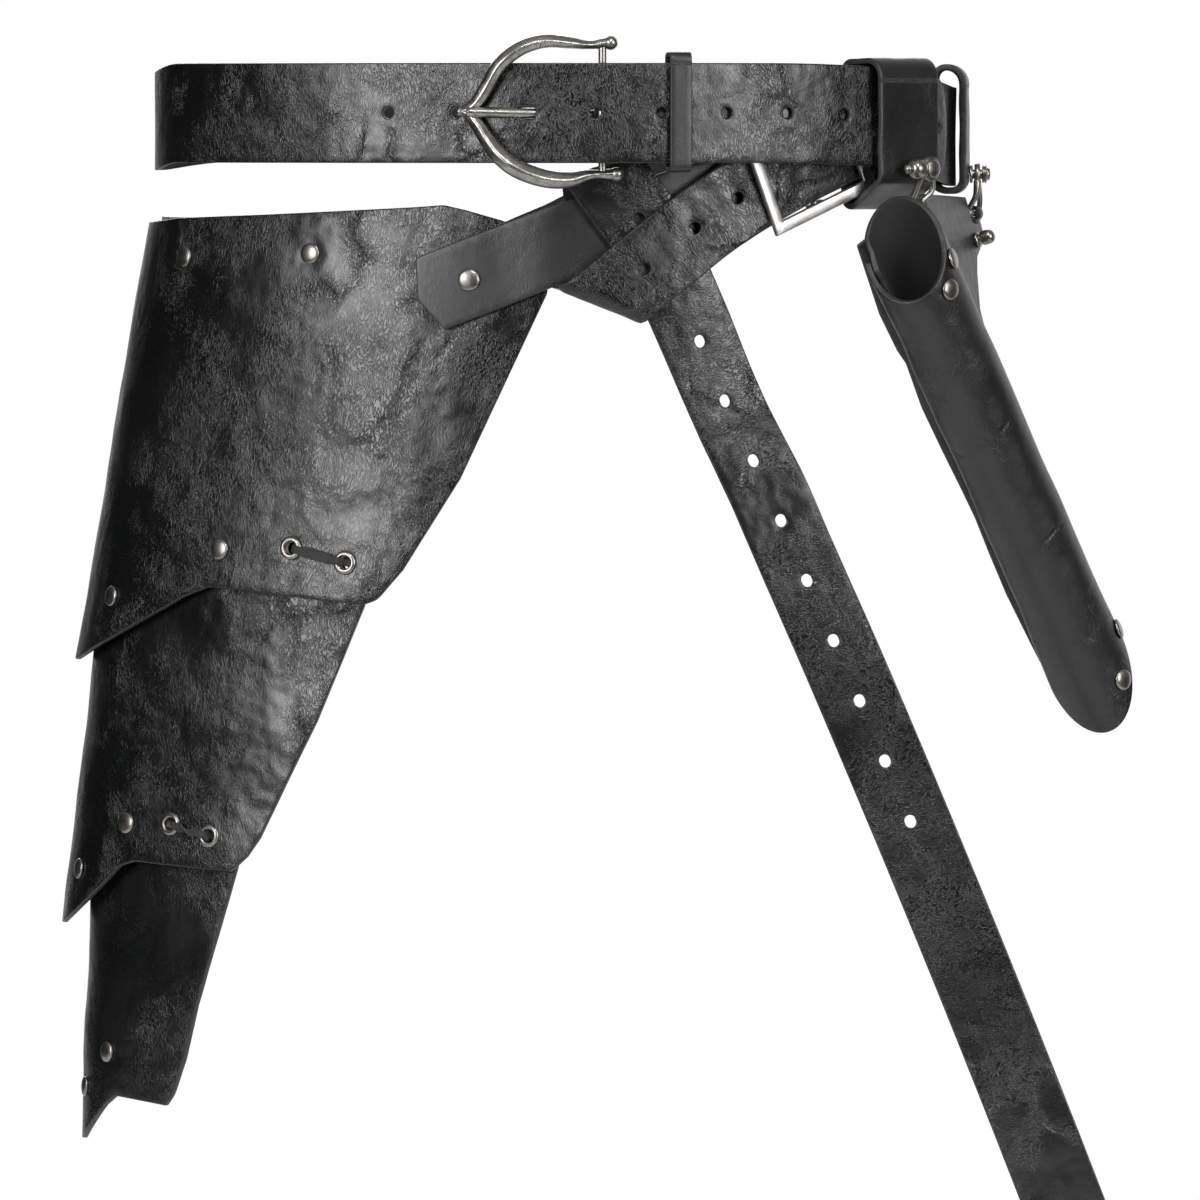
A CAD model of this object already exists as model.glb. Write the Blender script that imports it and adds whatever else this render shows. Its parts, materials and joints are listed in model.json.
# Thigh armour: leg plates, waist belt, knotted hip belt and sword frog in black leather.
# Lengths are millimetres until each mesh is made, and metres after that.
import json
import math
import random

import bpy
import numpy as np
from mathutils import Matrix, Vector
from mathutils.geometry import delaunay_2d_cdt


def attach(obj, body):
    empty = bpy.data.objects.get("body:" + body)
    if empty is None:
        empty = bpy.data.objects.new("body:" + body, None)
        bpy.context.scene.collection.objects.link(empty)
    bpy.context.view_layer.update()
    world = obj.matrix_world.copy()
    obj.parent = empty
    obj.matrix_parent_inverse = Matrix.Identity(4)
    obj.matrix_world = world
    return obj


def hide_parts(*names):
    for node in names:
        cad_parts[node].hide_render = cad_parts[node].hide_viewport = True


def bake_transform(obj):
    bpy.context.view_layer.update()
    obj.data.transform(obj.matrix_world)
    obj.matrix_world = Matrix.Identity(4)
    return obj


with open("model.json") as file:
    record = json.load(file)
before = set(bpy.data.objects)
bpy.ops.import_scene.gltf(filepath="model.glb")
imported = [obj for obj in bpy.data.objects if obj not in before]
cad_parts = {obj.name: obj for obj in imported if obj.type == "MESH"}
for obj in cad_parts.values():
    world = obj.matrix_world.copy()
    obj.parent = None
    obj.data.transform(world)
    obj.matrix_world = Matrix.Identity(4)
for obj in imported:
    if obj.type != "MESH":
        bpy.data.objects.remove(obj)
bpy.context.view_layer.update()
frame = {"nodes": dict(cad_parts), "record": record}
scene = bpy.context.scene
nodeBody = {node: body for body, nodes in frame["record"]["behaviour"]["bodies"].items()
            for node in nodes}
print("frame loaded:", len(frame["nodes"]), "nodes")

# Camera, lamps and floor
studio = {
    "eye": (0.019, -8.12, 0.0),
    "aim": (0.019, -0.12, -0.2425),
    "lens": 480,
    "floorHeight": -0.612,
    "floorCentre": (0.0, -0.1),
    "floorRadius": 0.82,
    "floorColor": (0.86, 0.86, 0.86),
    "floorFade": (0.45, 0.95),  # shares of the radius between which it turns white
    "floorSides": 96,
    "skyBack": 0.95,  # what gloss sees behind the armour
    "skyFront": 0.012,
    "skyTop": 0.25,
    "skyLean": 0.4,  # brings the bright part of the sky round to the right
    "skyBackEdge": (0.6, 1.0),
    "skyTopEdge": (0.35, 0.95),
    # name: place, what it points at, width, height, watts
    "lamps": {
        "key": ((0.4, -2.5, 2.2), (0.0, -0.1, -0.2), 0.7, 0.5, 30),
        "leftBox": ((-1.75, -2.2, 0.4), (-0.1, -0.1, -0.25), 1.3, 1.5, 40),
        "rightBox": ((2.05, -2.05, 0.4), (0.1, -0.1, -0.2), 1.3, 1.5, 36),
        "backBox": ((-0.5, 2.7, 1.0), (0.0, 0.1, -0.25), 1.6, 1.2, 34),
    },
}


def pointAt(spot, target):
    way = Vector(target) - Vector(spot)
    return Matrix.Translation(spot) @ way.to_track_quat("-Z", "Y").to_matrix().to_4x4()


def addStudio():
    lensData = bpy.data.cameras.new("studio_camera")
    lensData.lens = studio["lens"]
    lensData.sensor_width = 36
    lensData.clip_end = 40
    camera = bpy.data.objects.new("studio_camera", lensData)
    camera.matrix_world = pointAt(studio["eye"], studio["aim"])
    scene.collection.objects.link(camera)
    scene.camera = camera
    for name, (spot, target, wide, high, watts) in studio["lamps"].items():
        lampData = bpy.data.lights.new("lamp_" + name, "AREA")
        lampData.shape = "RECTANGLE"
        lampData.size = wide
        lampData.size_y = high
        lampData.energy = watts
        lamp = bpy.data.objects.new("lamp_" + name, lampData)
        lamp.matrix_world = pointAt(spot, target)
        lamp.visible_camera = False
        scene.collection.objects.link(lamp)
    scene.view_settings.view_transform = "Standard"


addStudio()
print("camera and lamps placed")


# Shader maths: a wire is one socket, and an expression on wires adds its Math nodes
class Wire:
    def __init__(self, bench, socket):
        self.bench = bench
        self.socket = socket

    def maths(self, operation, *others):
        values = dict(enumerate((self,) + others))
        return self.bench.node("ShaderNodeMath", {"operation": operation}, values)

    def __add__(self, other):
        return self.maths("ADD", other)

    def __sub__(self, other):
        return self.maths("SUBTRACT", other)

    def __mul__(self, other):
        return self.maths("MULTIPLY", other)

    def __rsub__(self, other):
        return self.bench.node("ShaderNodeMath", {"operation": "SUBTRACT"}, {0: other, 1: self})

    __radd__ = __add__
    __rmul__ = __mul__

    def twin(self, key):
        # another output of the same node
        return Wire(self.bench, self.socket.node.outputs[key])

    def largest(self, other):
        return self.maths("MAXIMUM", other)

    def size(self):
        return self.maths("ABSOLUTE")

    def between(self, low, high, toLow=0.0, toHigh=1.0):
        return self.bench.node("ShaderNodeMapRange", {"interpolation_type": "SMOOTHSTEP"},
                               {"Value": self, "From Min": low, "From Max": high,
                                "To Min": toLow, "To Max": toHigh})


# The bench holds one node tree, and puts any node on it
class Bench:
    def __init__(self, tree):
        self.tree = tree

    def node(self, kind, settings=None, sockets=None, out=0):
        made = self.tree.nodes.new(kind)
        for key, value in (settings or {}).items():
            setattr(made, key, value)
        for key, value in (sockets or {}).items():
            if isinstance(value, Wire):
                self.tree.links.new(value.socket, made.inputs[key])
            else:
                made.inputs[key].default_value = value
        return Wire(self, made.outputs[out]) if made.outputs else None

    def blendColor(self, mask, one, two):
        return self.node("ShaderNodeMix", {"data_type": "RGBA"}, {0: mask, 6: one, 7: two}, out=2)

    def stretch(self, place, scale, turn=0.0):
        return self.node("ShaderNodeMapping", {"vector_type": "POINT"},
                         {"Vector": place, "Scale": scale, "Rotation": (0, 0, math.radians(turn))})

    def grain(self, place, scale, detail=3.0, rough=0.55):
        return self.node("ShaderNodeTexNoise", {"noise_dimensions": "3D"},
                         {"Vector": place, "Scale": scale, "Detail": detail, "Roughness": rough})

    def bump(self, height, strength, distance, normal=None):
        sockets = {"Height": height, "Strength": strength, "Distance": distance}
        return self.node("ShaderNodeBump", None, {**sockets, "Normal": normal} if normal else sockets)

    def warp(self, place, scale, amount):
        # moves a place by a soft noise, so that lines wander
        push = self.node("ShaderNodeTexNoise", {"noise_dimensions": "3D"},
                         {"Vector": place, "Scale": scale, "Detail": 1.0}, out=1)
        centred = self.node("ShaderNodeVectorMath", {"operation": "SUBTRACT"},
                            {0: push, 1: (0.5, 0.5, 0.5)})
        pushed = self.node("ShaderNodeVectorMath", {"operation": "SCALE"},
                           {0: centred, "Scale": amount})
        return self.node("ShaderNodeVectorMath", {"operation": "ADD"}, {0: place, 1: pushed})


def emptyBench(owner):
    owner.use_nodes = True
    owner.node_tree.nodes.clear()
    return Bench(owner.node_tree)


def newMaterial(name):
    material = bpy.data.materials.new(name)
    return material, emptyBench(material)


def rgba(color):
    return (*color, 1)


def finishWith(bench, shader):
    bench.node("ShaderNodeOutputMaterial", None, {"Surface": shader})


def glossWith(bench, sockets):
    finishWith(bench, bench.node("ShaderNodeBsdfPrincipled", None, sockets))


def addSky():
    world = bpy.data.worlds.new("sky")
    bench = emptyBench(world)
    scene.world = world
    way = bench.node("ShaderNodeTexCoord")
    split = bench.node("ShaderNodeSeparateXYZ", None, {0: way})
    back = (split.twin(1) + split.twin(0) * studio["skyLean"]).between(*studio["skyBackEdge"])
    up = split.twin(2).between(*studio["skyTopEdge"])
    glow = back * (studio["skyBack"] - studio["skyFront"]) + studio["skyFront"]
    glow = glow.largest(up * studio["skyTop"])
    path = bench.node("ShaderNodeLightPath")
    seen = path.twin("Is Camera Ray").largest(path.twin("Is Transmission Ray"))
    strength = seen + (1 - seen) * glow
    light = bench.node("ShaderNodeBackground", None, {"Color": (1, 1, 1, 1), "Strength": strength})
    bench.node("ShaderNodeOutputWorld", None, {"Surface": light})


addSky()


# Black grained leather. The attribute "lay" holds metres along, across and through the piece,
# and "cut" is 0 on the grain side, 1 on a cut edge and 2 on the flesh side.
leatherLooks = {
    "beltLeather": {"tone": (0.0050, 0.0053, 0.0058), "gloss": 0.25, "fine": 1.0, "crease": 0.8,
                    "cells": 30, "turn": 8},
    "plateLeather": {"tone": (0.0050, 0.0055, 0.0061), "gloss": 0.25, "fine": 0.95, "crease": 1.0,
                     "cells": 17, "turn": 14},
    "strapLeather": {"tone": (0.0050, 0.0053, 0.0058), "gloss": 0.25, "fine": 1.15, "crease": 0.9,
                     "cells": 34, "turn": -10},
    "smoothLeather": {"tone": (0.0110, 0.0118, 0.0128), "gloss": 0.38, "fine": 0.16, "crease": 0.15,
                      "cells": 20, "turn": 5},
    "frogLeather": {"tone": (0.0100, 0.0097, 0.0095), "gloss": 0.33, "fine": 0.45, "crease": 0.6,
                    "cells": 26, "turn": 30},
}
# Scales are per metre, and depths and wander are in metres
hide = {"wander": (55, 0.010), "patches": 30, "crossing": 48, "furrow": 0.095, "pebble": 1500,
        "wrinkles": ((880, 270, 400), (800, 360, 400)), "wrinkleDepth": 0.00018,
        "bandWander": (38, 0.030), "bands": 21, "bandWidth": 0.20, "creaseWidth": 0.09,
        "calmPatches": 17, "dents": 42, "dentDepth": 0.0022, "clouds": 24, "fibres": 1100,
        "fleshGrain": 900,
        "fleshRough": 0.88, "gleam": 0.9,
        "edgeTones": ((0.016, 0.016, 0.017, 1), (0.042, 0.042, 0.043, 1)),
        "fleshTones": ((0.004, 0.004, 0.004, 1), (0.010, 0.010, 0.010, 1))}


def makeLeather(name, look):
    material, bench = newMaterial(name)
    lay = bench.node("ShaderNodeAttribute", {"attribute_name": "lay"}, None, out=1)
    cut = bench.node("ShaderNodeAttribute", {"attribute_name": "cut"}, None, out=2)
    edge = (1 - (cut - 1).size()).between(0.25, 0.7)
    flesh = cut.between(1.35, 1.8)

    # short wandering wrinkles, lying one way in some patches and another way in others
    wander = bench.warp(lay, *hide["wander"])
    patch = bench.grain(lay, hide["patches"], 1.0).between(0.40, 0.60)
    one, two = (bench.grain(bench.stretch(wander, scale, look["turn"] + turn), 1.0, 2.0, 0.5)
                for scale, turn in zip(hide["wrinkles"], (0, hide["crossing"])))
    folds = one + (two - one) * patch
    furrow = 1 - (folds - 0.5).size().between(0.0, hide["furrow"])
    pebble = bench.grain(lay, hide["pebble"], 1.0)

    # bands where the hide was folded, with denser wrinkles, broken where it lies flat
    cell = bench.node("ShaderNodeTexVoronoi", {"feature": "DISTANCE_TO_EDGE"},
                      {"Vector": bench.warp(lay, *hide["bandWander"]), "Scale": look["cells"]})
    broken = bench.grain(lay, hide["bands"], 2.0).between(0.45, 0.60)
    band = (1 - cell.between(0.0, hide["bandWidth"])) * broken
    crease = (1 - cell.between(0.0, hide["creaseWidth"])) * broken * look["crease"] * (one * 1.6 - 0.25)
    dents = bench.grain(lay, hide["dents"], 2.0) * (look["fine"] * 1.1 + 0.25)
    lively = bench.grain(lay, hide["calmPatches"], 1.0).between(0.30, 0.65, 0.20, 0.95) + band * 1.3

    height = (folds * 0.7 - furrow * 0.55) * lively * look["fine"] + pebble * 0.02
    fleshHeight = bench.grain(lay, hide["fleshGrain"], 4.0, 0.7)
    height = height * (1 - flesh) + fleshHeight * flesh * 0.4
    height = height * (1 - edge * 0.7)
    normal = bench.bump((dents - crease * 0.42) * (1 - flesh), 0.6, hide["dentDepth"])
    normal = bench.bump(height, 0.9, hide["wrinkleDepth"], normal)

    tone = Vector(look["tone"])
    cloudy = bench.grain(lay, hide["clouds"], 3.0).between(0.3, 0.7)
    color = bench.blendColor(cloudy, rgba(tone * 0.82), rgba(tone * 1.22))
    color = bench.blendColor((furrow * 0.5 + crease * 0.6) * (1 - flesh), color, rgba(tone * 0.45))
    fibres = bench.grain(lay, hide["fibres"], 3.0, 0.7).between(0.35, 0.75)
    color = bench.blendColor(edge * 0.85, color, bench.blendColor(fibres, *hide["edgeTones"]))
    color = bench.blendColor(flesh, color, bench.blendColor(fibres, *hide["fleshTones"]))

    rough = cloudy * 0.05 + look["gloss"] + furrow * 0.05 + edge * 0.14
    rough = rough * (1 - flesh) + flesh * hide["fleshRough"]
    glossWith(bench, {"Base Color": color, "Roughness": rough, "Normal": normal,
                      "Specular IOR Level": hide["gleam"]})
    return material


# Metals, by the place in space in metres: patina in clouds and smears, small pits and brushing
metalLooks = {
    "pewter": {"bright": (0.50, 0.485, 0.455), "dark": (0.09, 0.085, 0.075), "rough": 0.27,
               "patina": 0.55, "pits": 1.0, "brush": 0.0},
    "nickel": {"bright": (0.39, 0.365, 0.34), "dark": (0.20, 0.18, 0.16), "rough": 0.31,
               "patina": 0.25, "pits": 0.25, "brush": 0.2},
    "satinSteel": {"bright": (0.86, 0.83, 0.81), "dark": (0.55, 0.52, 0.50), "rough": 0.30,
                   "patina": 0.10, "pits": 0.1, "brush": 1.0},
}
# Scales are per metre, and "depth" is in metres
metalMake = {"clouds": 260, "smears": 90, "wander": (90, 0.01), "pits": 520, "pitGroups": 130,
             "brushing": (260, 260, 4200), "casting": 700, "depth": 0.00022}


def makeMetal(name, look):
    material, bench = newMaterial(name)
    place = bench.node("ShaderNodeTexCoord", None, None, out=3)
    cloudy = bench.grain(place, metalMake["clouds"], 4.0, 0.65).between(0.42, 0.72)
    smear = bench.grain(bench.warp(place, *metalMake["wander"]), metalMake["smears"]).between(0.45, 0.70)
    grime = (cloudy * 0.6 + smear * 0.6) * look["patina"]
    pit = bench.node("ShaderNodeTexVoronoi", {"feature": "F1"},
                     {"Vector": place, "Scale": metalMake["pits"]})
    groups = bench.grain(place, metalMake["pitGroups"], 1.0).between(0.52, 0.64)
    pit = (1 - pit.between(0.10, 0.26)) * groups * look["pits"]
    lines = bench.grain(bench.stretch(place, metalMake["brushing"]), 1.0, 2.0)
    color = bench.blendColor(grime.largest(pit * 0.9), rgba(look["bright"]), rgba(look["dark"]))
    rough = cloudy * 0.10 + look["rough"] + grime * 0.18
    height = bench.grain(place, metalMake["casting"], 3.0, 0.6) * 0.35 - pit * 1.4 \
        + lines * (look["brush"] * 0.3)
    glossWith(bench, {"Base Color": color, "Roughness": rough, "Metallic": 1.0,
                      "Normal": bench.bump(height, 0.5, metalMake["depth"])})
    return material


laceLook = {"tone": (0.016, 0.016, 0.017), "lit": (0.075, 0.077, 0.080), "plaitPerMetre": 520,
            "rough": 0.42, "depth": 0.0006}


def makeLace(name):
    material, bench = newMaterial(name)
    lay = bench.node("ShaderNodeAttribute", {"attribute_name": "lay"}, None, out=1)
    one, two = (bench.node("ShaderNodeTexWave", {"wave_profile": "SIN"},
                           {"Vector": bench.stretch(lay, (1, 1, 1), turn),
                            "Scale": laceLook["plaitPerMetre"]}, out=1) for turn in (38, -38))
    plait = one.largest(two)
    color = bench.blendColor(plait.between(0.3, 1.0), rgba(laceLook["tone"]), rgba(laceLook["lit"]))
    glossWith(bench, {"Base Color": color, "Roughness": laceLook["rough"],
                      "Normal": bench.bump(plait, 0.8, laceLook["depth"])})
    return material


def addFloor():
    material, bench = newMaterial("floorPaper")
    place = bench.node("ShaderNodeNewGeometry")
    (x, y), z, r = studio["floorCentre"], studio["floorHeight"], studio["floorRadius"]
    middle = bench.node("ShaderNodeVectorMath", {"operation": "DISTANCE"},
                        {0: place, 1: (x, y, z)}, out=1)
    away = middle.between(*(share * r for share in studio["floorFade"]))
    paper = bench.node("ShaderNodeBsdfDiffuse", None, {"Color": rgba(studio["floorColor"])})
    white = bench.node("ShaderNodeEmission", None, {"Strength": 1.0})
    path = bench.node("ShaderNodeLightPath")
    shader = bench.node("ShaderNodeMixShader", None, {0: away * path, 1: paper, 2: white})
    finishWith(bench, shader)
    mesh = bpy.data.meshes.new("floor")
    sides = studio["floorSides"]
    turns = [math.tau * i / sides for i in range(sides)]
    rim = [(x + r * math.cos(t), y + r * math.sin(t), z) for t in turns]
    mesh.from_pydata(rim, [], [list(range(sides))])
    mesh.materials.append(material)
    floor = bpy.data.objects.new("floor", mesh)
    scene.collection.objects.link(floor)


finishes = {name: makeLeather(name, look) for name, look in leatherLooks.items()}
finishes.update({name: makeMetal(name, look) for name, look in metalLooks.items()})
finishes["laceCord"] = makeLace("laceCord")
slots = {name: "leather" for name in leatherLooks}
slots.update({"pewter": "pewter", "nickel": "nickel", "satinSteel": "satin_steel", "laceCord": "lace"})


def dress(node, finish):
    # a better material on a node of the frame that stays
    materials = frame["nodes"][node].data.materials
    materials.clear()
    materials.append(finishes[finish])


addFloor()
print("materials made:", len(finishes))


# Working with hide: an outline is cut in flat millimetres and then laid on a shape
def smooth(t):
    t = np.clip(t, 0, 1)
    return t * t * (3 - 2 * t)


def unit(v):
    v = np.asarray(v, float)
    return v / np.linalg.norm(v, axis=-1, keepdims=True)


def runOf(points):
    # length along a line, at each of its points
    steps = np.linalg.norm(np.diff(points, axis=0), axis=1)
    return np.concatenate([[0], np.cumsum(steps)])


def oneSpot(place, u, v, w=0.0):
    return place(np.array([u]), np.array([v]), np.array([w]))[0]


def aroundCircle(r, sides):
    turns = (math.tau * k / sides for k in range(sides))
    return [(r * math.cos(t), r * math.sin(t)) for t in turns]


def swell(seed, size, amount):
    # soft waves with a fixed seed, so that no leather lies dead flat
    draw = random.Random(seed)
    waves = []
    for _ in range(9):
        turn = draw.uniform(0, math.tau)
        pace = math.tau / (size * draw.uniform(0.6, 1.8))
        waves.append((math.cos(turn) * pace, math.sin(turn) * pace, draw.uniform(0, math.tau)))

    def height(u, v):
        return amount / 3 * sum(np.sin(a * u + b * v + c) for a, b, c in waves)
    return height


def roundCorners(points, radius):
    soft = []
    count = len(points)
    for i in range(count):
        before, here, after = (np.array(points[(i + k) % count], float) for k in (-1, 0, 1))
        come, go = here - before, after - here
        turn = abs(math.atan2(come[0] * go[1] - come[1] * go[0], come @ go))
        if turn < math.radians(14) or radius <= 0:
            soft.append(here)
            continue
        back = min(radius, 0.45 * np.linalg.norm(come), 0.45 * np.linalg.norm(go))
        start = here - unit(come) * back
        end = here + unit(go) * back
        for t in np.linspace(0, 1, 5):
            soft.append((1 - t) ** 2 * start + 2 * t * (1 - t) * here + t * t * end)
    return np.array(soft)


def dense(points, step):
    # the same closed line with no stretch longer than step
    full = []
    for here, after in zip(points, np.roll(points, -1, axis=0)):
        pieces = max(1, math.ceil(np.linalg.norm(after - here) / step))
        full.extend(here + (after - here) * k / pieces for k in range(pieces))
    return np.array(full)


def signedArea(loop):
    x, y = loop[:, 0], loop[:, 1]
    return 0.5 * np.sum(x * np.roll(y, -1) - y * np.roll(x, -1))


def inwardOf(loop):
    # for a line that has the leather on its left
    along = unit(np.roll(loop, -1, axis=0) - loop)
    normals = np.stack([-along[:, 1], along[:, 0]], axis=1)
    both = normals + np.roll(normals, 1, axis=0)
    return both / np.maximum(np.sum(both * both, axis=1, keepdims=True) / 2, 0.6)


def insideOf(loop, points):
    found = np.zeros(len(points), bool)
    for a, b in zip(loop, np.roll(loop, -1, axis=0)):
        crosses = (a[1] > points[:, 1]) != (b[1] > points[:, 1])
        if a[1] != b[1]:
            at = a[0] + (points[:, 1] - a[1]) * (b[0] - a[0]) / (b[1] - a[1])
            found ^= crosses & (points[:, 0] < at)
    return found


def roundHole(u, v, width, length=0, sides=22):
    # a punched hole, longer along u where length is given
    reach = max(0, length - width) / 2
    return [(u + x + math.copysign(reach, x), v + y) for x, y in aroundCircle(width / 2, sides)]


def shankHole(u, v, width=3.8):
    return roundHole(u, v, width, sides=14)


def skin(rows, size, closed):
    # faces between rows of points, capped at both ends unless the rows close
    faces = []
    for i in range(rows if closed else rows - 1):
        here, after = i * size, (i + 1) % rows * size
        faces += [(here + k, here + (k + 1) % size, after + (k + 1) % size, after + k)
                  for k in range(size)]
    if not closed:
        faces.append(tuple(range(size - 1, -1, -1)))
        faces.append(tuple((rows - 1) * size + k for k in range(size)))
    return faces


# The stock gathers the parts of one piece before it becomes a mesh. "shift" moves its leather
# grain, so that no two pieces have the same wrinkles
class Stock:
    def __init__(self):
        self.points, self.faces, self.lays, self.cuts = [], [], [], []
        self.count = 0

    def add(self, points, faces, lays=None, cuts=None):
        points = np.asarray(points, float)
        self.points.append(points)
        self.lays.append(points if lays is None else np.asarray(lays, float))
        self.cuts.append(np.zeros(len(points)) if cuts is None else np.asarray(cuts, float))
        self.faces.extend([tuple(int(i) + self.count for i in face) for face in faces])
        self.count += len(points)

    def piece(self, name, finish, replaced, shift=0.0, sharp=None, rides=True):
        mesh = bpy.data.meshes.new(name)
        mesh.from_pydata((np.concatenate(self.points) / 1000).tolist(), [], self.faces)
        mesh.update()
        lay = mesh.attributes.new("lay", "FLOAT_VECTOR", "POINT")
        lay.data.foreach_set("vector", ((np.concatenate(self.lays) + shift) / 1000).ravel())
        cut = mesh.attributes.new("cut", "FLOAT", "POINT")
        cut.data.foreach_set("value", np.concatenate(self.cuts))
        mesh.polygons.foreach_set("use_smooth", [True] * len(mesh.polygons))
        if sharp:
            mesh.set_sharp_from_angle(angle=math.radians(sharp))
        mesh.materials.append(finishes[finish])
        made = bpy.data.objects.new(name, mesh)
        scene.collection.objects.link(made)
        if rides:
            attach(made, nodeBody[replaced[0]])
        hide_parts(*replaced)
        return made


def cutLeather(stock, outline, place, holes=(), wave=None, thick=3.0, grid=2.8, lip=0.7, corner=1.0):
    # a flat outline with its holes, meshed, given thickness and round edges, and laid in place
    edge = dense(roundCorners(outline, corner), grid)
    if signedArea(edge) < 0:
        edge = edge[::-1]
    loops = [edge]
    for hole in holes:
        hole = np.array(hole, float)
        loops.append(hole[::-1] if signedArea(hole) > 0 else hole)
    inward = [inwardOf(loop) for loop in loops]
    inset = [loop + way * lip for loop, way in zip(loops, inward)]

    low, high = edge.min(axis=0), edge.max(axis=0)
    rows = np.arange(low[1] + grid / 2, high[1], grid * 0.87)
    field = [(u + (i % 2) * grid / 2, v) for i, v in enumerate(rows)
             for u in np.arange(low[0] + grid / 4, high[0], grid)]
    field = np.array(field) if field else np.zeros((0, 2))
    field = field[insideOf(inset[0], field)]
    for hole in inset[1:]:
        field = field[~insideOf(hole, field)]
    rim = np.concatenate(inset)
    near = np.array([np.min((rim[:, 0] - u) ** 2 + (rim[:, 1] - v) ** 2) for u, v in field])
    field = field[near > (0.6 * grid) ** 2] if len(field) else field

    flat = [Vector(p) for p in np.concatenate([rim, field])]
    edges, starts, at = [], [], 0
    for loop in inset:
        starts.append(at)
        edges += [(at + k, at + (k + 1) % len(loop)) for k in range(len(loop))]
        at += len(loop)
    found, _, triangles, origins, _, _ = delaunay_2d_cdt(flat, edges, [], 1, 1e-5)
    found = np.array([tuple(p) for p in found])
    whereIs = {old: new for new, olds in enumerate(origins) for old in olds}
    triangles = np.array(triangles)
    middles = found[triangles].mean(axis=1)
    for hole in inset[1:]:
        keep = ~insideOf(hole, middles)
        triangles, middles = triangles[keep], middles[keep]

    half = thick / 2
    turns = [math.radians(a) for a in (30, 60, 90)]
    profile = [(lip * math.sin(a), half - lip * (1 - math.cos(a)), c)
               for a, c in zip(turns, (0.3, 0.7, 1.0))]
    profile += [(out, -w, 2 - c) for out, w, c in reversed(profile)]
    total = len(found)
    u, v, w = [found[:, 0]] * 2, [found[:, 1]] * 2, [np.full(total, half), np.full(total, -half)]
    cuts = [np.zeros(total), np.full(total, 2.0)]
    faces = [tuple(t) for t in triangles] + [(c + total, b + total, a + total)
                                             for a, b, c in triangles]
    base = 2 * total
    for loop, way, start in zip(inset, inward, starts):
        size = len(loop)
        top = [whereIs[start + k] for k in range(size)]
        rings = [top]
        for out, depth, c in profile:
            moved = loop - way * out
            u.append(moved[:, 0])
            v.append(moved[:, 1])
            w.append(np.full(size, depth))
            cuts.append(np.full(size, c))
            rings.append([base + k for k in range(size)])
            base += size
        rings.append([k + total for k in top])
        for upper, lower in zip(rings, rings[1:]):
            for k in range(size):
                n = (k + 1) % size
                faces.append((upper[k], lower[k], lower[n], upper[n]))
    u, v, w = np.concatenate(u), np.concatenate(v), np.concatenate(w)
    rise = wave(u, v) if wave else 0
    stock.add(place(u, v, w + rise), faces, np.stack([u, v, w], axis=1), np.concatenate(cuts))


def strapSection(width, thick, lip=0.7, step=3.0):
    # closed line round a strap's section, as across, depth and cut
    half, across = thick / 2, width / 2 - lip
    pieces = max(2, round(2 * across / step))
    face = [(-across + 2 * across * k / pieces, half, 0.0) for k in range(pieces + 1)]
    bend = [(across + lip * math.sin(a), half - lip * (1 - math.cos(a)), c)
            for a, c in zip((0.52, 1.05, 1.57), (0.3, 0.7, 1.0))]
    side = face + bend + [(a, -w, 2 - c) for a, w, c in reversed(bend)]
    back = [(-a, -w, 2 - c) for a, w, c in face]
    other = [(-a, w, c) for a, w, c in bend]
    return side + back + [(a, -w, 2 - c) for a, w, c in other] + list(reversed(other))


def sweep(stock, points, outs, acrosses, section, closed=False, wave=None):
    # a section carried along a line
    points, outs, acrosses = (np.asarray(a, float) for a in (points, outs, acrosses))
    run = runOf(points)
    size, rows = len(section), len(points)
    across, depth, cut = (np.array([s[i] for s in section]) for i in range(3))
    places, lays = [], []
    for i in range(rows):
        rise = wave(run[i], across) if wave else 0
        places.append(points[i] + np.outer(across, acrosses[i]) + np.outer(depth + rise, outs[i]))
        lays.append(np.stack([np.full(size, run[i]), across, depth], axis=1))
    stock.add(np.concatenate(places), skin(rows, size, closed), np.concatenate(lays), np.tile(cut, rows))


def turned(profile, sides):
    # a lathe shape from (radius, height) pairs, closed on its axis at both ends
    points, faces, rings = [], [], []
    for r, z in profile:
        if r < 1e-6:
            rings.append([len(points)])
            points.append((0, 0, z))
        else:
            rings.append([len(points) + k for k in range(sides)])
            points += [(x, y, z) for x, y in aroundCircle(r, sides)]
    for a, b in zip(rings, rings[1:]):
        for k in range(sides):
            n = (k + 1) % sides
            if len(a) == 1:
                faces.append((a[0], b[n], b[k]))
            elif len(b) == 1:
                faces.append((a[k], a[n], b[0]))
            else:
                faces.append((a[k], a[n], b[n], b[k]))
    return np.array(points, float), faces


def turnedRing(profile, sides):
    # a closed (radius, height) line spun into a ring
    size = len(profile)
    points = [(r * x, r * y, z) for x, y in aroundCircle(1, sides) for r, z in profile]
    faces = [(a, d, c, b) for a, b, c, d in skin(sides, size, True)]
    return np.array(points, float), faces


def aimed(point, way, roll=0.0):
    # the frame with +Z along way, as the CAD source aims its shapes
    way = unit(way)
    heading = math.degrees(math.atan2(way[1], way[0]))
    fall = math.degrees(math.acos(max(-1, min(1, way[2]))))
    return Matrix.Translation(Vector(point)) @ spin(heading, "Z") @ spin(fall, "Y") @ spin(roll, "Z")


def spin(degrees, axis):
    return Matrix.Rotation(math.radians(degrees), 4, axis)


def moved(matrix, points):
    grid = np.array(matrix)
    return np.asarray(points, float) @ grid[:3, :3].T + grid[:3, 3]


def addTurned(stock, matrix, profile, sides, shape=turned):
    points, faces = shape(profile, sides)
    stock.add(moved(matrix, points), faces, points)


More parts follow.
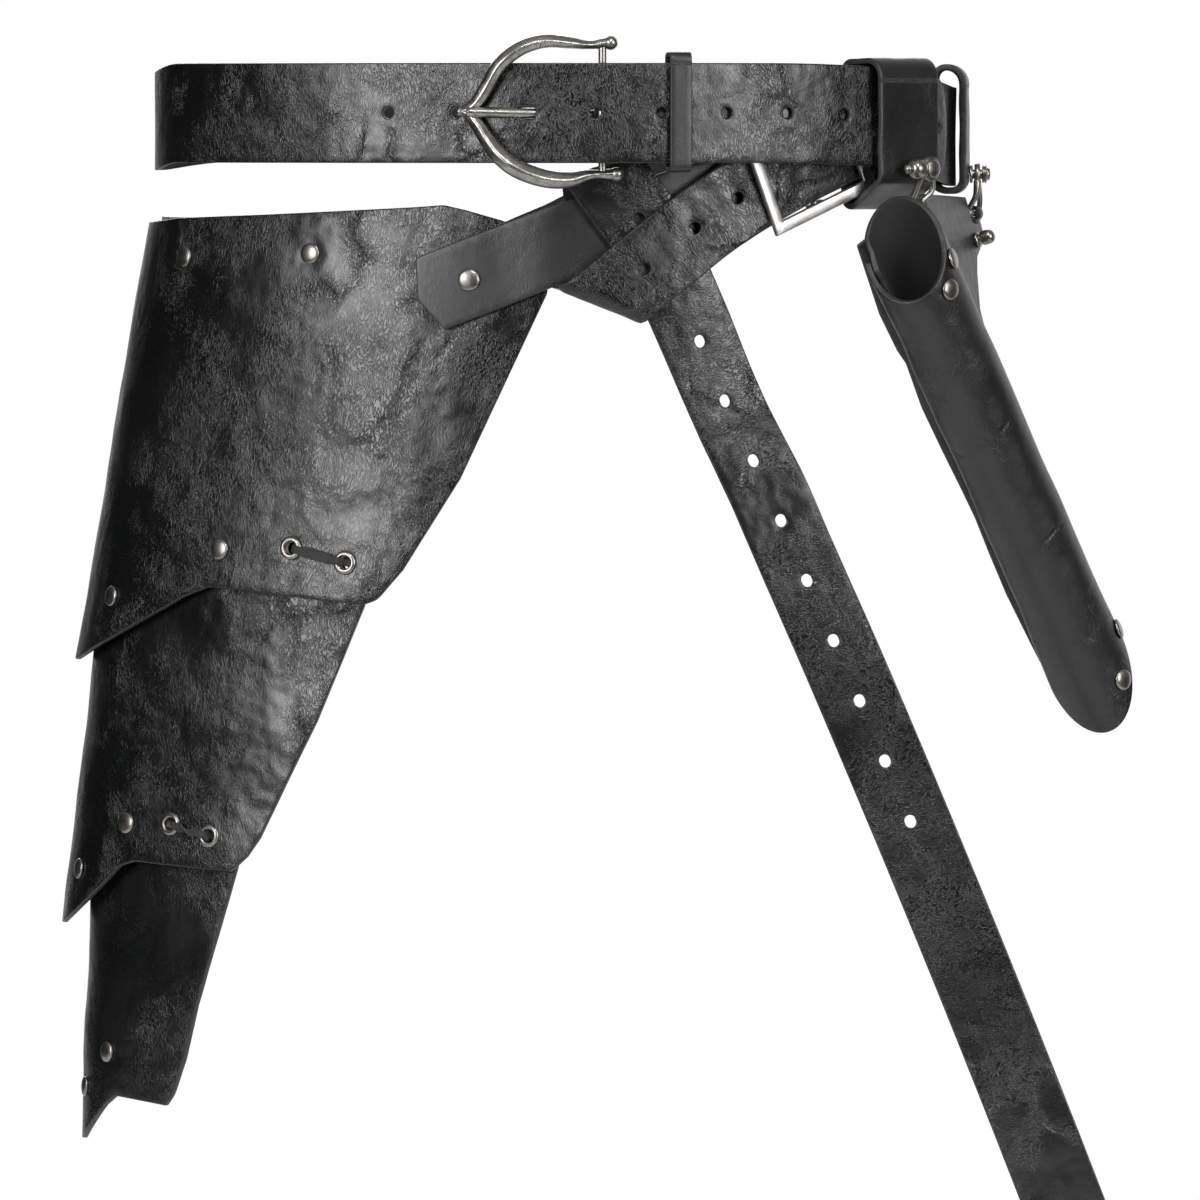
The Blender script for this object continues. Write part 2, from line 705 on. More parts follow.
def addHub(stock, matrix, inner, outer, low, high, inSoft, outSoft, sides):
    # a short tube round a wire; each soft corner is (across, along)
    (a, b), (c, d) = inSoft, outSoft
    profile = [(inner, low + b), (inner, high - b), (inner + a, high), (outer - c, high),
               (outer, high - d), (outer, low + d), (outer - c, low), (inner + a, low)]
    addTurned(stock, matrix, profile[::-1], sides, turnedRing)


def addBall(stock, point, r):
    curve = [(r * math.sin(t), -r * math.cos(t)) for t in np.linspace(0, math.pi, 17)]
    addTurned(stock, Matrix.Translation(point), [(0, -r)] + curve[1:-1] + [(0, r)], 32)


def throughPoints(rows, count):
    # a soft curve through rows of numbers, evenly spaced along its way
    rows = np.asarray(rows, float)
    padded = np.vstack([2 * rows[0] - rows[1], rows, 2 * rows[-1] - rows[-2]])
    fine = []
    for i in range(1, len(padded) - 2):
        p0, p1, p2, p3 = padded[i - 1:i + 3]
        for t in np.linspace(0, 1, 24, endpoint=False):
            fine.append(0.5 * (2 * p1 + (p2 - p0) * t + (2 * p0 - 5 * p1 + 4 * p2 - p3) * t * t
                               + (3 * p1 - p0 - 3 * p2 + p3) * t ** 3))
    fine = np.array(fine + [rows[-1]])
    run = runOf(fine[:, :3])
    even = np.linspace(0, run[-1], count)
    return np.stack([np.interp(even, run, fine[:, k]) for k in range(fine.shape[1])], axis=1)


def rod(stock, points, radii, sides=20, lean=(0, 1, 0.01), shape=None, domes=True):
    # a rod through points, round or with its own section shape(turn) -> share of the radius
    points, radii = np.asarray(points, float), np.asarray(radii, float)
    if domes:
        first, last = unit(points[0] - points[1]), unit(points[-1] - points[-2])
        caps = [(0.0, 1.0), (0.5, 0.87), (0.85, 0.53), (0.98, 0.18)]
        points = np.vstack([[points[0] + first * radii[0] * a for a, _ in reversed(caps[1:])], points,
                            [points[-1] + last * radii[-1] * a for a, _ in caps[1:]]])
        radii = np.concatenate([[radii[0] * b for _, b in reversed(caps[1:])], radii,
                                [radii[-1] * b for _, b in caps[1:]]])
    along = unit(np.gradient(points, axis=0))
    side = unit(np.cross(along, lean))
    front = np.cross(along, side)
    turns = np.linspace(0, math.tau, sides, endpoint=False)
    reach = np.ones(sides) if shape is None else np.array([shape(t) for t in turns])
    across = np.cos(turns)[None, :, None] * side[:, None] + np.sin(turns)[None, :, None] * front[:, None]
    rings = points[:, None] + radii[:, None, None] * reach[None, :, None] * across
    stock.add(rings.reshape(-1, 3), skin(len(points), sides, False))


# The ovals that the belts and plates lie on, by the heading of their outward side:
# 0 is the front, 90 the right of the picture, 180 the back
def arcRadius(a, b, r):
    return ((a - r) ** 2 + b * b - r * r) / (2 * (b - r))


def ovalPoint(a, b, r, off, phi):
    phi = np.asarray(phi, float)
    s, c = np.sin(np.radians(phi)), np.cos(np.radians(phi))
    big = arcRadius(a, b, r)
    turn = np.arctan2(a - r, big - b)
    side = np.abs(s) > np.sin(turn)
    x = np.where(side, np.sign(s) * (a - r) + (r + off) * s, (big + off) * s)
    y = np.where(side, -(r + off) * c, np.sign(c) * ((big - b) - (big + off) * np.abs(c)))
    return x, y


waist = {"right": 198, "left": 205, "depth": 135, "side": 90, "width": 50, "thick": 3,
         "holeWidth": 5.6, "holePitch": 33.4, "prongAt": -3.9, "tongueEnd": 425.6, "tongueRound": 9,
         "foldHoles": (-15, 15), "foldRivets": (-14, 16), "rivetsPast": 4}
frontR = arcRadius(waist["right"], waist["depth"], waist["side"])
frontY = frontR - waist["depth"]


def waistPoint(phi, off):
    phi = np.asarray(phi, float)
    half = np.where(np.sin(np.radians(phi)) < 0, waist["left"], waist["right"])
    return ovalPoint(half, waist["depth"], waist["side"], off, phi)


def waistHeight(phi):
    # level in front and behind, and a little lower on both sides
    p = (np.asarray(phi, float) + 180) % 360 - 180
    return 1 - 12 * smooth((p - 25) / 60) * (1 - smooth((p - 100) / 60)) \
        - 4 * smooth((-p - 60) / 28) * (1 - smooth((-p - 100) / 45))


def outward(phi):
    turn = np.radians(np.asarray(phi, float))
    return np.stack([np.sin(turn), -np.cos(turn), np.zeros_like(turn)], axis=-1)


def onWaist(phi, off, height):
    # the frame with +X along the belt, -Y outward and +Z up
    x, y = waistPoint(phi, off)
    return Matrix.Translation((float(x), float(y), height)) @ spin(phi, "Z")


# A line is a strap's path: middle points, outward and upward directions, by length
class Line:
    def __init__(self, points, outs, ups=None):
        self.points = np.asarray(points, float)
        self.outs = unit(outs)
        if ups is None:
            ups = np.cross(self.outs, np.gradient(self.points, axis=0))
        self.ups = unit(ups)
        self.run = runOf(self.points)
        self.length = self.run[-1]

    def read(self, table, u):
        return np.stack([np.interp(u, self.run, table[:, k]) for k in range(3)], axis=-1)

    def place(self, u, v, w):
        u = np.clip(u, 0, self.length)
        ups, outs = unit(self.read(self.ups, u)), unit(self.read(self.outs, u))
        v, w = np.asarray(v)[..., None], np.asarray(w)[..., None]
        return self.read(self.points, u) + ups * v + outs * w


# Waist belt: a short flap folded round the buckle's bar, then once round the waist and out
# through the buckle as the tongue
bar = {"phi": math.degrees(math.asin(20.5 / frontR)), "radius": 2.0}
bar["foldIn"] = bar["radius"] + 0.15
bar["off"] = -(waist["thick"] / 2 + bar["foldIn"])
bar["flapOff"] = bar["off"] - bar["foldIn"] - waist["thick"] / 2
layer = waist["thick"] + 0.5


def tongueOff(phi):
    u = np.asarray(phi, float) - 360
    lift = 0.8
    return (layer + lift) * smooth((u + 12.5) / 8.6) - lift * smooth((u - 5) / 7)


def waistBeltLine():
    flap = np.linspace(bar["phi"] + 6.2, bar["phi"], 8)
    x, y = waistPoint(flap, bar["flapOff"])
    points = [np.stack([x, y, waistHeight(flap)], axis=1)]
    outs = [-outward(flap)]
    x, y = waistPoint(bar["phi"], bar["off"])
    middle = np.array([x, y, waistHeight(bar["phi"])], float)
    out = outward(bar["phi"])
    left = np.array([-math.cos(math.radians(bar["phi"])), -math.sin(math.radians(bar["phi"])), 0])
    for a in np.linspace(0, math.pi, 12)[1:-1]:
        way = -out * math.cos(a) + left * math.sin(a)
        points.append([middle + way * (bar["foldIn"] + waist["thick"] / 2)])
        outs.append([way])
    main = np.concatenate([np.arange(bar["phi"], 340, 1.0), np.arange(340, waist["tongueEnd"], 0.5)])
    x, y = waistPoint(main, np.where(main < 300, 0, tongueOff(main)))
    points.append(np.stack([x, y, waistHeight(main)], axis=1))
    outs.append(outward(main))
    points = np.concatenate(points)
    line = Line(points, np.concatenate(outs), np.tile([0, 0, 1.0], (len(points), 1)))
    line.flapEnd = line.run[7]
    line.start = line.run[18]
    line.along = lambda phi: float(np.interp(phi, main, line.run[18:]))
    return line


beltLine = waistBeltLine()


def addWaistBelt():
    half = waist["width"] / 2
    end = beltLine.length - 0.5
    soft = waist["tongueRound"]
    nose = [(end - soft + soft * math.sin(a), -half * math.cos(a))
            for a in np.linspace(0.25, math.pi - 0.25, 14)]
    outline = [(0, -half), (end - soft, -half)] + nose + [(end - soft, half), (0, half)]
    pitch = math.degrees(waist["holePitch"] / (frontR + layer))
    prongAt = beltLine.along(360 + waist["prongAt"])
    holes = [roundHole(beltLine.along(360 + waist["prongAt"] + i * pitch), 0, waist["holeWidth"])
             for i in range(-2, 9) if i]
    holes.append(roundHole(prongAt + 0.8, 0, 6.4, 9.0))
    fold = (beltLine.flapEnd + beltLine.start) / 2
    holes.append(roundHole(fold, -0.5, 11, beltLine.start - beltLine.flapEnd + 12, 30))
    for z in waist["foldHoles"]:
        holes.append(shankHole(beltLine.along(bar["phi"] + waist["rivetsPast"]), z, 3.4))
        holes.append(shankHole(beltLine.flapEnd - 3.7, z, 3.4))
    waves = swell(11, 70, 0.30)

    def wave(u, v):
        free = smooth((u - beltLine.along(352)) / 30) + (1 - smooth((u - beltLine.along(330)) / 20))
        dish = -0.5 * np.exp(-(((u - prongAt) / 9) ** 2 + (v / 8) ** 2))
        near = np.exp(-(((u - prongAt - 24) / 16) ** 2 + (v / 17) ** 2))
        ruck = 0.175 * np.sin((u - prongAt) / 3.6) * near
        return waves(u, v) * np.clip(free, 0, 1) * 0.8 + dish + ruck
    stock = Stock()
    cutLeather(stock, outline, beltLine.place, holes, wave, waist["thick"], corner=0.5)
    stock.piece("waist_belt_leather", "beltLeather", ["waist_belt"])


def addFoldRivets():
    stock = Stock()
    reach = -bar["flapOff"] + waist["thick"] / 2
    cap = [(1.5, 0), (3.6, 0.1), (4.0, 0.4), (3.9, 0.9), (3.2, 1.25), (0, 1.4)]
    for z in waist["foldRivets"]:
        frameAt = onWaist(bar["phi"] + waist["rivetsPast"], 0, z) @ spin(-90, "X")
        addTurned(stock, frameAt, [(0, -1.5), (1.5, -1.5)] + [(r, reach + h) for r, h in cap], 28)
    stock.piece("waist_fold_rivets", "nickel", ["waist_belt_fold_rivets"])


keeper = {"phi": 13.8, "width": 11, "thick": 2.5, "room": 0.6, "over": 2.5, "bend": 2.6}


def ringLine(low, high, deep, top, bend, steps=7):
    # a closed rounded box line as (depth, height) with its outward directions
    points, outs = [], []
    for centre, start in (((high - bend, top - bend), 0), ((low + bend, top - bend), 90),
                          ((low + bend, deep + bend), 180), ((high - bend, deep + bend), 270)):
        for t in np.linspace(start, start + 90, steps):
            way = (math.cos(math.radians(t)), math.sin(math.radians(t)))
            points.append((centre[0] + bend * way[0], centre[1] + bend * way[1]))
            outs.append(way)
    return np.array(points), np.array(outs)


def filled(points, outs, step):
    # more rows on the long straight stretches of a closed line
    newPoints, newOuts = [], []
    for a, b, m, n in zip(points, np.roll(points, -1, axis=0), outs, np.roll(outs, -1, axis=0)):
        pieces = max(1, round(np.linalg.norm(b - a) / step))
        for k in range(pieces):
            newPoints.append(a + (b - a) * k / pieces)
            newOuts.append(m + (n - m) * k / pieces)
    return np.array(newPoints), unit(np.array(newOuts))


def addBand(stock, frameAt, line, outs, width, thick, wave=None):
    # a closed leather band: the line is (outward, up) in the belt's frame, the band lies along X
    points = np.stack([np.zeros(len(line)), -line[:, 0], line[:, 1]], axis=1)
    ways = np.stack([np.zeros(len(line)), -outs[:, 0], outs[:, 1]], axis=1)
    turn = np.array(frameAt)[:3, :3]
    sweep(stock, moved(frameAt, points), ways @ turn.T, np.tile(turn[:, 0], (len(line), 1)),
          strapSection(width, thick, 0.6, 2.5), closed=True, wave=wave)


def addKeeper():
    half = keeper["thick"] / 2
    low = -waist["thick"] / 2 - keeper["room"] - half
    high = layer + waist["thick"] / 2 + keeper["room"] + half
    tall = waist["width"] / 2 + keeper["over"] + half
    line, outs = ringLine(low, high, -tall, tall, keeper["bend"])
    line, outs = filled(line, outs, 3)
    stock = Stock()
    frameAt = onWaist(keeper["phi"], 0, float(waistHeight(keeper["phi"])) + 0.5)
    addBand(stock, frameAt, line, outs, keeper["width"], keeper["thick"])
    stock.piece("waist_keeper_leather", "smoothLeather", ["waist_keeper"])


addWaistBelt()
addFoldRivets()
addKeeper()
print("waist belt cut and folded")


# Leg plates: oval walls that lean outward. "at" is the top of the outer side, "behind" how far
# a plate lies behind the one above it, and the three edges are (x, z), all seen from the front
plates = {
    "upper": {"at": (-210.6, -54), "lean": 9.5, "half": 206, "depth": 140, "side": 90,
              "top": [(-262, -55), (-210, -54), (-196, -52), (-149, -50), (-72.5, -46), (-59.5, -45)],
              "inner": [(-48.5, -47.5), (-27.5, -53.5), (-6.5, -87.5), (-51, -182), (-80, -228),
                        (-93, -243)],
              "bottom": [(-270, -292), (-248, -277), (-237, -269), (-191, -242.5), (-178.5, -237.5),
                         (-169.5, -238), (-100, -245.5)],
              "rivets": [(-191, -71.5), (-126.5, -69.5), (-172.5, -218.5), (-228.5, -243.5)],
              "eyelets": [(-136.2, -217.3), (-109, -224.4)], "seed": 3},
    "middle": {"at": (-238.4, -272), "lean": 6.8, "half": 198, "depth": 132, "side": 82, "behind": 8,
               "top": [(-268, -246), (-240, -232), (-180, -206), (-165, -203), (-100, -210)],
               "inner": [(-90, -215), (-99.5, -246.5), (-123.5, -304.5), (-141, -340),
                         (-152.5, -363.5), (-159, -373)],
               "bottom": [(-274, -430), (-254, -410), (-240, -396), (-224.5, -379.5),
                          (-217.5, -377), (-184.5, -379.5), (-167, -380.5)],
               "rivets": [(-220.5, -358), (-245.5, -382.5)],
               "eyelets": [(-197.5, -357.5), (-178, -363)], "seed": 8},
    "lower": {"at": (-241, -399), "lean": 2.2, "half": 189, "depth": 123, "side": 73, "behind": 9,
              "top": [(-266, -376), (-230, -347), (-215, -342), (-172, -346)],
              "inner": [(-158, -353), (-164.5, -380), (-174.5, -415), (-185, -449), (-191, -477),
                        (-197, -495)],
              "bottom": [(-264, -550), (-245, -520), (-232.5, -502), (-227, -497), (-201, -500.5)],
              "rivets": [(-231, -475), (-242.8, -494)], "eyelets": [], "seed": 21},
}
plateMake = {"thick": 3, "middleY": 27.5, "back": 34, "grid": 3.2, "wave": 0.45, "dimple": 0.55,
             "holeWidth": 8.0, "runnerThick": 2, "runnerWidth": 18, "runnerGap": 0.6}


class Plate:
    def __init__(self, facts):
        self.facts = facts
        self.half, self.depth, self.side = facts["half"], facts["depth"], facts["side"]
        self.lean = math.radians(facts["lean"])
        self.phi = np.arange(-135, 20, 0.25)
        x, y = ovalPoint(self.half, self.depth, self.side, 0, self.phi)
        run = runOf(np.stack([x, y], axis=1))
        self.run = run - np.interp(-90, self.phi, run)

    def world(self, x, y, lift):
        out = x + self.half
        return np.stack([self.facts["at"][0] + out * math.cos(self.lean) + lift * math.sin(self.lean),
                         y + plateMake["middleY"],
                         self.facts["at"][1] - out * math.sin(self.lean) + lift * math.cos(self.lean)],
                        axis=-1)

    def place(self, u, v, w):
        # u along the oval from its outer side, v up, w out from the middle of the leather
        phi = np.interp(u, self.run, self.phi)
        x, y = ovalPoint(self.half, self.depth, self.side, np.asarray(w) - plateMake["thick"] / 2, phi)
        return self.world(x, y, np.asarray(v, float))

    def outAt(self, u):
        turn = math.radians(float(np.interp(u, self.run, self.phi)))
        return np.array([math.sin(turn) * math.cos(self.lean), -math.cos(turn),
                         -math.sin(turn) * math.sin(self.lean)])

    def fromView(self, x, z):
        dx, dz = x - self.facts["at"][0], z - self.facts["at"][1]
        lx = dx * math.cos(self.lean) - dz * math.sin(self.lean) - self.half
        lift = dx * math.sin(self.lean) + dz * math.cos(self.lean)
        big = arcRadius(self.half, self.depth, self.side)
        turn = math.atan2(self.half - self.side, big - self.depth)
        if abs(lx) < big * math.sin(turn):
            phi = math.asin(lx / big)
        else:
            share = min(1.0, (abs(lx) - (self.half - self.side)) / self.side)
            phi = math.copysign(math.asin(share), lx)
        return float(np.interp(math.degrees(phi), self.phi, self.run)), lift

    def edge(self, line, start, end, count):
        # height along the leather of a line that is straight or bent as seen from the front
        xs, zs = zip(*line)
        u = np.linspace(start, end, count)
        v = np.full(count, zs[0] - self.facts["at"][1], float)
        for _ in range(30):
            spot = self.place(u, v, np.full(count, plateMake["thick"] / 2))
            v -= (spot[:, 2] - np.interp(spot[:, 0], xs, zs)) / math.cos(self.lean)
        return list(zip(u, v))

    def outline(self):
        back = math.degrees(math.acos(-plateMake["back"] / self.side))
        start = float(np.interp(-back, self.phi, self.run))
        topEnd = self.fromView(*self.facts["top"][-1])[0]
        bottomEnd = self.fromView(*self.facts["bottom"][-1])[0]
        points = self.edge(self.facts["top"], start, topEnd, 70)
        points += [self.fromView(*spot) for spot in self.facts["inner"]]
        return points + self.edge(self.facts["bottom"], start, bottomEnd, 90)[::-1]

    def frameAt(self, spot, lift=0.0):
        u, v = self.fromView(*spot)
        return aimed(oneSpot(self.place, u, v, plateMake["thick"] / 2 + lift), self.outAt(u))

    def spotBehind(self, other, spot):
        # where a rivet or lace of this plate goes through the plate behind it
        deep = other.frameAt(spot, -(self.facts["behind"] + plateMake["thick"] / 2)).translation
        return self.fromView(deep.x, deep.z)


shells = {name: Plate(facts) for name, facts in plates.items()}


def plateWave(shell, dimples, outer):
    waves = swell(shell.facts["seed"], 95, plateMake["wave"])
    small = swell(shell.facts["seed"] + 50, 26, plateMake["wave"] * 0.22)
    top = shell.fromView(*shell.facts["top"][3])[1]

    def wave(u, v):
        rise = waves(u, v) + small(u, v)
        if outer:
            rise = rise * smooth((top - v - 25) / 50)  # flat where the plate in front covers it
        for at in dimples:
            far = np.hypot(u - at[0], v - at[1])
            rise = rise * (1 - np.exp(-(far / 11) ** 2))
            rise = rise - plateMake["dimple"] * np.exp(-(far / 6.2) ** 4)
        return rise
    return wave


def addPlate(name, outer):
    shell = shells[name]
    facts = shell.facts
    rivets = [shell.fromView(*spot) for spot in facts["rivets"]]
    eyelets = [shell.fromView(*spot) for spot in facts["eyelets"]]
    holes = [shankHole(*spot) for spot in rivets]
    holes += [roundHole(*spot, plateMake["holeWidth"]) for spot in eyelets]
    if outer:
        for spot in plates[outer]["rivets"][-2:]:
            holes.append(roundHole(*shell.spotBehind(shells[outer], spot), 5.0, sides=16))
        for spot in plates[outer]["eyelets"]:
            holes.append(roundHole(*shell.spotBehind(shells[outer], spot), 8.2))
    else:
        holes.append(shankHole(*shell.fromView(*frontStrap["rivetAt"])))
    stock = Stock()
    cutLeather(stock, shell.outline(), shell.place, holes, plateWave(shell, rivets, outer),
               plateMake["thick"], plateMake["grid"], corner=3.0)
    stock.piece(name + "_plate_leather", "plateLeather", [name + "_plate"], shift=facts["seed"] * 37.0)


def addRunners(name, pairs, over):
    # narrow straps on the flesh side that carry the plates, from rivet to rivet
    shell = shells[name]
    down = plateMake["thick"] / 2 + plateMake["runnerGap"] + plateMake["runnerThick"] / 2
    stock = Stock()
    for start, end in pairs:
        one, two = (np.array(shell.fromView(*spot)) for spot in (start, end))
        a, b = one - (two - one) * over[0], two + (two - one) * over[1]
        along = unit(b - a)
        across = np.array([-along[1], along[0]]) * plateMake["runnerWidth"] / 2
        outline = np.array([a - across, b - across, b + across, a + across])
        holes = [shankHole(*spot, 4.0) for spot in (one, two) if insideOf(outline, spot[None])[0]]
        cutLeather(stock, outline, lambda u, v, w: shell.place(u, v, w - down), holes, None,
                   plateMake["runnerThick"], 4.5, 0.5, 3.0)
    stock.piece(name + "_plate_runner_straps", "smoothLeather", [name + "_plate_runners"])


rivet = {"head": 10.5, "rise": 2.3, "shank": 3.5, "cap": 9.0, "sunk": 0.35}


def rivetProfile(stack, lift=0.0, head=rivet["head"]):
    r = head / 2
    cap, shank, rise = rivet["cap"] / 2, rivet["shank"] / 2, rivet["rise"]
    back = [(0, -stack - 1.5), (cap - 0.3, -stack - 1.5), (cap, -stack - 1.2), (cap, -stack - 0.6),
            (cap - 0.3, -stack - 0.3), (shank, -stack - 0.3)]
    side = 0.75  # height of the head's straight side
    dome = [(r * math.sin(a), side + (rise - side) * math.cos(a)) for a in np.linspace(1.45, 0.15, 9)]
    front = [(shank, 0.1), (r - 0.5, 0.05), (r - 0.12, 0.16), (r, 0.42), (r - 0.04, 0.7)] + dome
    return back + [(a, z + lift) for a, z in front + [(0, rise)]]


def addRivets(node, name, spots, stacks):
    stock = Stock()
    for spot, stack in zip(spots, stacks):
        place = shells[name].frameAt(spot, -rivet["sunk"])
        addTurned(stock, place, rivetProfile(stack - rivet["sunk"]), 40)
    stock.piece(node + "_set", "nickel", [node])


eyeletProfile = [(3.2, -3.4), (3.2, 0.7), (3.45, 1.25), (4.1, 1.52), (4.9, 1.42), (5.6, 0.95),
                 (6.0, 0.3), (5.85, 0.05), (4.6, 0.02), (3.85, -0.1), (3.85, -3.4)]


def addEyelets(name):
    stock = Stock()
    for spot in plates[name]["eyelets"]:
        addTurned(stock, shells[name].frameAt(spot), eyeletProfile, 40, turnedRing)
    stock.piece(name + "_plate_eyelet_set", "nickel", [name + "_plate_eyelets"])


laces = {"upper": {"depth": 14.8, "twist": 24, "width": 5.6},
         "middle": {"depth": 15.8, "twist": 178, "width": 5.2}}


def addLace(name):
    # a flat braid: up through one eyelet, over the leather and down the other, tied behind
    facts, shell = laces[name], shells[name]
    spots = plates[name]["eyelets"]
    one, two = (np.array(shell.frameAt(spot).translation) for spot in spots)
    out = unit(sum(shell.outAt(shell.fromView(*spot)[0]) for spot in spots))
    along = unit(two - one)
    across = np.cross(out, along)
    gap = np.linalg.norm(two - one)
    deep = facts["depth"] - 0.4
    # each row is how far along and how far out, up to the middle and mirrored from there
    rise = [(2.0, -deep - 0.4), (0.2, -deep + 1.5), (0.4, -8), (0.9, -2), (1.6, 0.9), (3.8, 2.7),
            (gap / 2 - 3, 3.1), (gap / 2, 3.2)]
    fall = [(gap - a, b) for a, b in reversed(rise[1:-1])]
    rows = [(gap / 2 + 4, -deep - 0.6)] + rise + fall
    rows += [(gap - 2, -deep - 2.3), (gap / 2 - 4, -deep - 2.5)]
    path = throughPoints([one + along * a + out * b for a, b in rows], 90)
    ways = unit(np.gradient(path, axis=0))
    above = np.nonzero((path - one) @ out > 1.5)[0]
    share = (np.arange(len(path)) - above[0]) / (above[-1] - above[0])
    turn = np.radians(facts["twist"]) * smooth(share * 1.3 - 0.15)
    wide = across * np.cos(turn)[:, None] + np.cross(ways, across) * np.sin(turn)[:, None]
    slim = np.where(np.abs((path - one) @ out + 3) < 6, 0.72, 1.0)
    stock = Stock()
    sweep(stock, path, np.cross(wide, ways), wide * slim[:, None],
          strapSection(facts["width"], 1.5, 0.6, 1.4))
    stock.piece(name + "_plate_lace_cord", "laceCord", [name + "_plate_lace"])


# Hip belt. Its layers lie inside the waist belt, and "off" is each layer's distance from the
# waist belt's middle line
hip = {"width": 40, "thick": 3, "holeWidth": 5.6, "sheet": -11.0, "wrap": -14.5, "front": -18.0,
       "under": -21.5, "fold": ((3, -82), (44.5, -99.5)), "topFold": ((2.5, -36.5), (40, -22)),
       "inset": 7.7, "tuckedEnd": 110, "tuckedShort": 12, "buckleAt": (92, -39),
       "backLow": -77, "backHigh": -6, "backClimb": 0.42, "climbFrom": -31,
       "holes": [(41, -77), (66.5, -56.5), (88, -41.5)],
       "height": [(-60, -106), (1.2, -106), (5.4, -94.5), (10.6, -77), (14.4, -65), (18.2, -53),
                  (22.5, -42.2), (26.7, -33.2), (31.9, -23.5), (37.5, -14.7), (43, -8), (50, -6.6),
                  (60, -6.2), (90, -6)],
       "off": [(0, -11), (40, -11), (46, -8.5), (52, -5.5), (60, -3.5), (180, -3.5)]}
frontStrap = {"rivetAt": (-46, -82.5), "lift": 3.2,
              "outline": [(-73, -71.5), (-27, -53.5), (1, -43), (60, -26), (95, -14), (118, -4.5),
                          (132, -40), (110, -50), (88, -61), (58, -72), (0, -84.3), (-32.5, -97.5),
                          (-58.5, -107.5), (-72, -92.5)]}


def onLayer(across, height, off):
    # a place on a layer of the knot, by the distance round the layer and the height
    turn = np.asarray(across) / (frontR + hip["sheet"])
    reach = frontR + np.asarray(off)
    return np.stack([np.sin(turn) * reach, frontY - np.cos(turn) * reach,
                     np.broadcast_to(height, np.shape(turn))], axis=-1)


def roundLayer(points):
    # distance round the layer and height of points in space
    points = np.asarray(points, float)
    turn = np.arctan2(points[..., 0], frontY - points[..., 1])
    return turn * (frontR + hip["sheet"]), points[..., 2]


def seenAt(x, z, off=hip["sheet"]):
    # the same from a place as seen from the front
    return math.asin(x / (frontR + off)) * (frontR + hip["sheet"]), z


def layerSpot(x, z, off):
    return onLayer(*seenAt(x, z, off), off)


def foldLine(line):
    # its start, and the direction to the right of it, on the layer laid flat
    a, b = (np.array(seenAt(*spot)) for spot in line)
    along = unit(b - a)
    return a, np.array([along[1], -along[0]])


def folded(across, height, w, line, near, far, beyond):
    # leather past a fold line goes round a half circle and comes back on another layer
    a, away = foldLine(line)
    away = away * beyond
    d = (across - a[0]) * away[0] + (height - a[1]) * away[1]
    bend = abs(near - far) / 2
    turn = np.clip(d / bend, 0, math.pi)
    past = np.where(d <= 0, d, np.where(d < math.pi * bend, bend * np.sin(turn), math.pi * bend - d))
    depth = near - bend * (1 - np.cos(turn))
    move = past - d + w * np.sin(turn)
    return onLayer(across + away[0] * move, height + away[1] * move, depth + w * np.cos(turn))


def backHeight(x):
    low, high = hip["backLow"], hip["backHigh"]
    return np.clip(low + hip["backClimb"] * (x - hip["climbFrom"]), low, high)


def leaning(phi, lean):
    # the outward direction of a wall that leans
    turn = np.radians(phi)
    return np.stack([np.sin(turn) * np.cos(lean), -np.cos(turn), -np.sin(turn) * np.sin(lean)], axis=1)


def hipLine():
    # from the knot round the right side and the back to the inside of the upper plate
    phi = np.concatenate([[1.2], np.arange(2.5, 178, 1.0)])
    off = np.interp(phi, *zip(*hip["off"]))
    x, y = waistPoint(phi, off)
    z = np.where(phi <= 90, np.interp(phi, *zip(*hip["height"])), backHeight(x))
    # soften the corners of the height line
    z = np.convolve(np.concatenate([np.full(2, z[0]), z, np.full(2, z[-1])]), np.ones(5) / 5, "valid")
    right = np.stack([x, y, z], axis=1)
    rightOut = outward(phi)
    upper, inset = shells["upper"], hip["inset"]
    phi = np.arange(-180, -91, 2.0)
    leftEdge = -leftAt(-90, -72, inset)[0]
    x, y = ovalPoint(leftEdge, waist["depth"] - 3.5 - plateMake["middleY"], 90 - inset, 0, phi)
    lean = smooth((phi + 150) / 60) * upper.lean
    z = np.where(phi > -110, hip["backLow"] + 5 * (phi + 110) / 20, backHeight(x))
    back = np.stack([x, y + plateMake["middleY"], z], axis=1)
    backOut = leaning(phi, lean)
    phi = np.arange(-90, -24, 2.5)
    left = np.array([leftAt(p, -71 - 0.02 * (p + 90), inset) for p in phi])
    leftOut = leaning(phi, upper.lean)
    # carry the strap on past its fold, in the sheet's own layer
    start, height = roundLayer(right[0])
    step = unit(np.array(roundLayer(right[4])) - np.array([start, height]))
    s = np.arange(hip["tuckedEnd"], 0, -3.0)
    more = onLayer(start - step[0] * s, height - step[1] * s, hip["sheet"])
    moreOut = outward(np.degrees((start - step[0] * s) / (frontR + hip["sheet"])))
    return Line(np.concatenate([more, right, back, left]),
                np.concatenate([moreOut, rightOut, backOut, leftOut]))


def leftAt(phi, z, inset):
    upper = shells["upper"]
    x, y = ovalPoint(upper.half, upper.depth, upper.side, -inset, phi)
    lift = (z - upper.facts["at"][1] + (x + upper.half) * math.sin(upper.lean)) / math.cos(upper.lean)
    return upper.world(x, y, lift)


def spotOn(line, point):
    # length and width of a point near a line
    near = int(np.argmin(np.linalg.norm(line.points - point, axis=1)))
    gap = point - line.points[near]
    along = unit(line.points[min(near + 1, len(line.points) - 1)] - line.points[max(near - 1, 0)])
    return float(line.run[near] + gap @ along), float(gap @ line.ups[near])


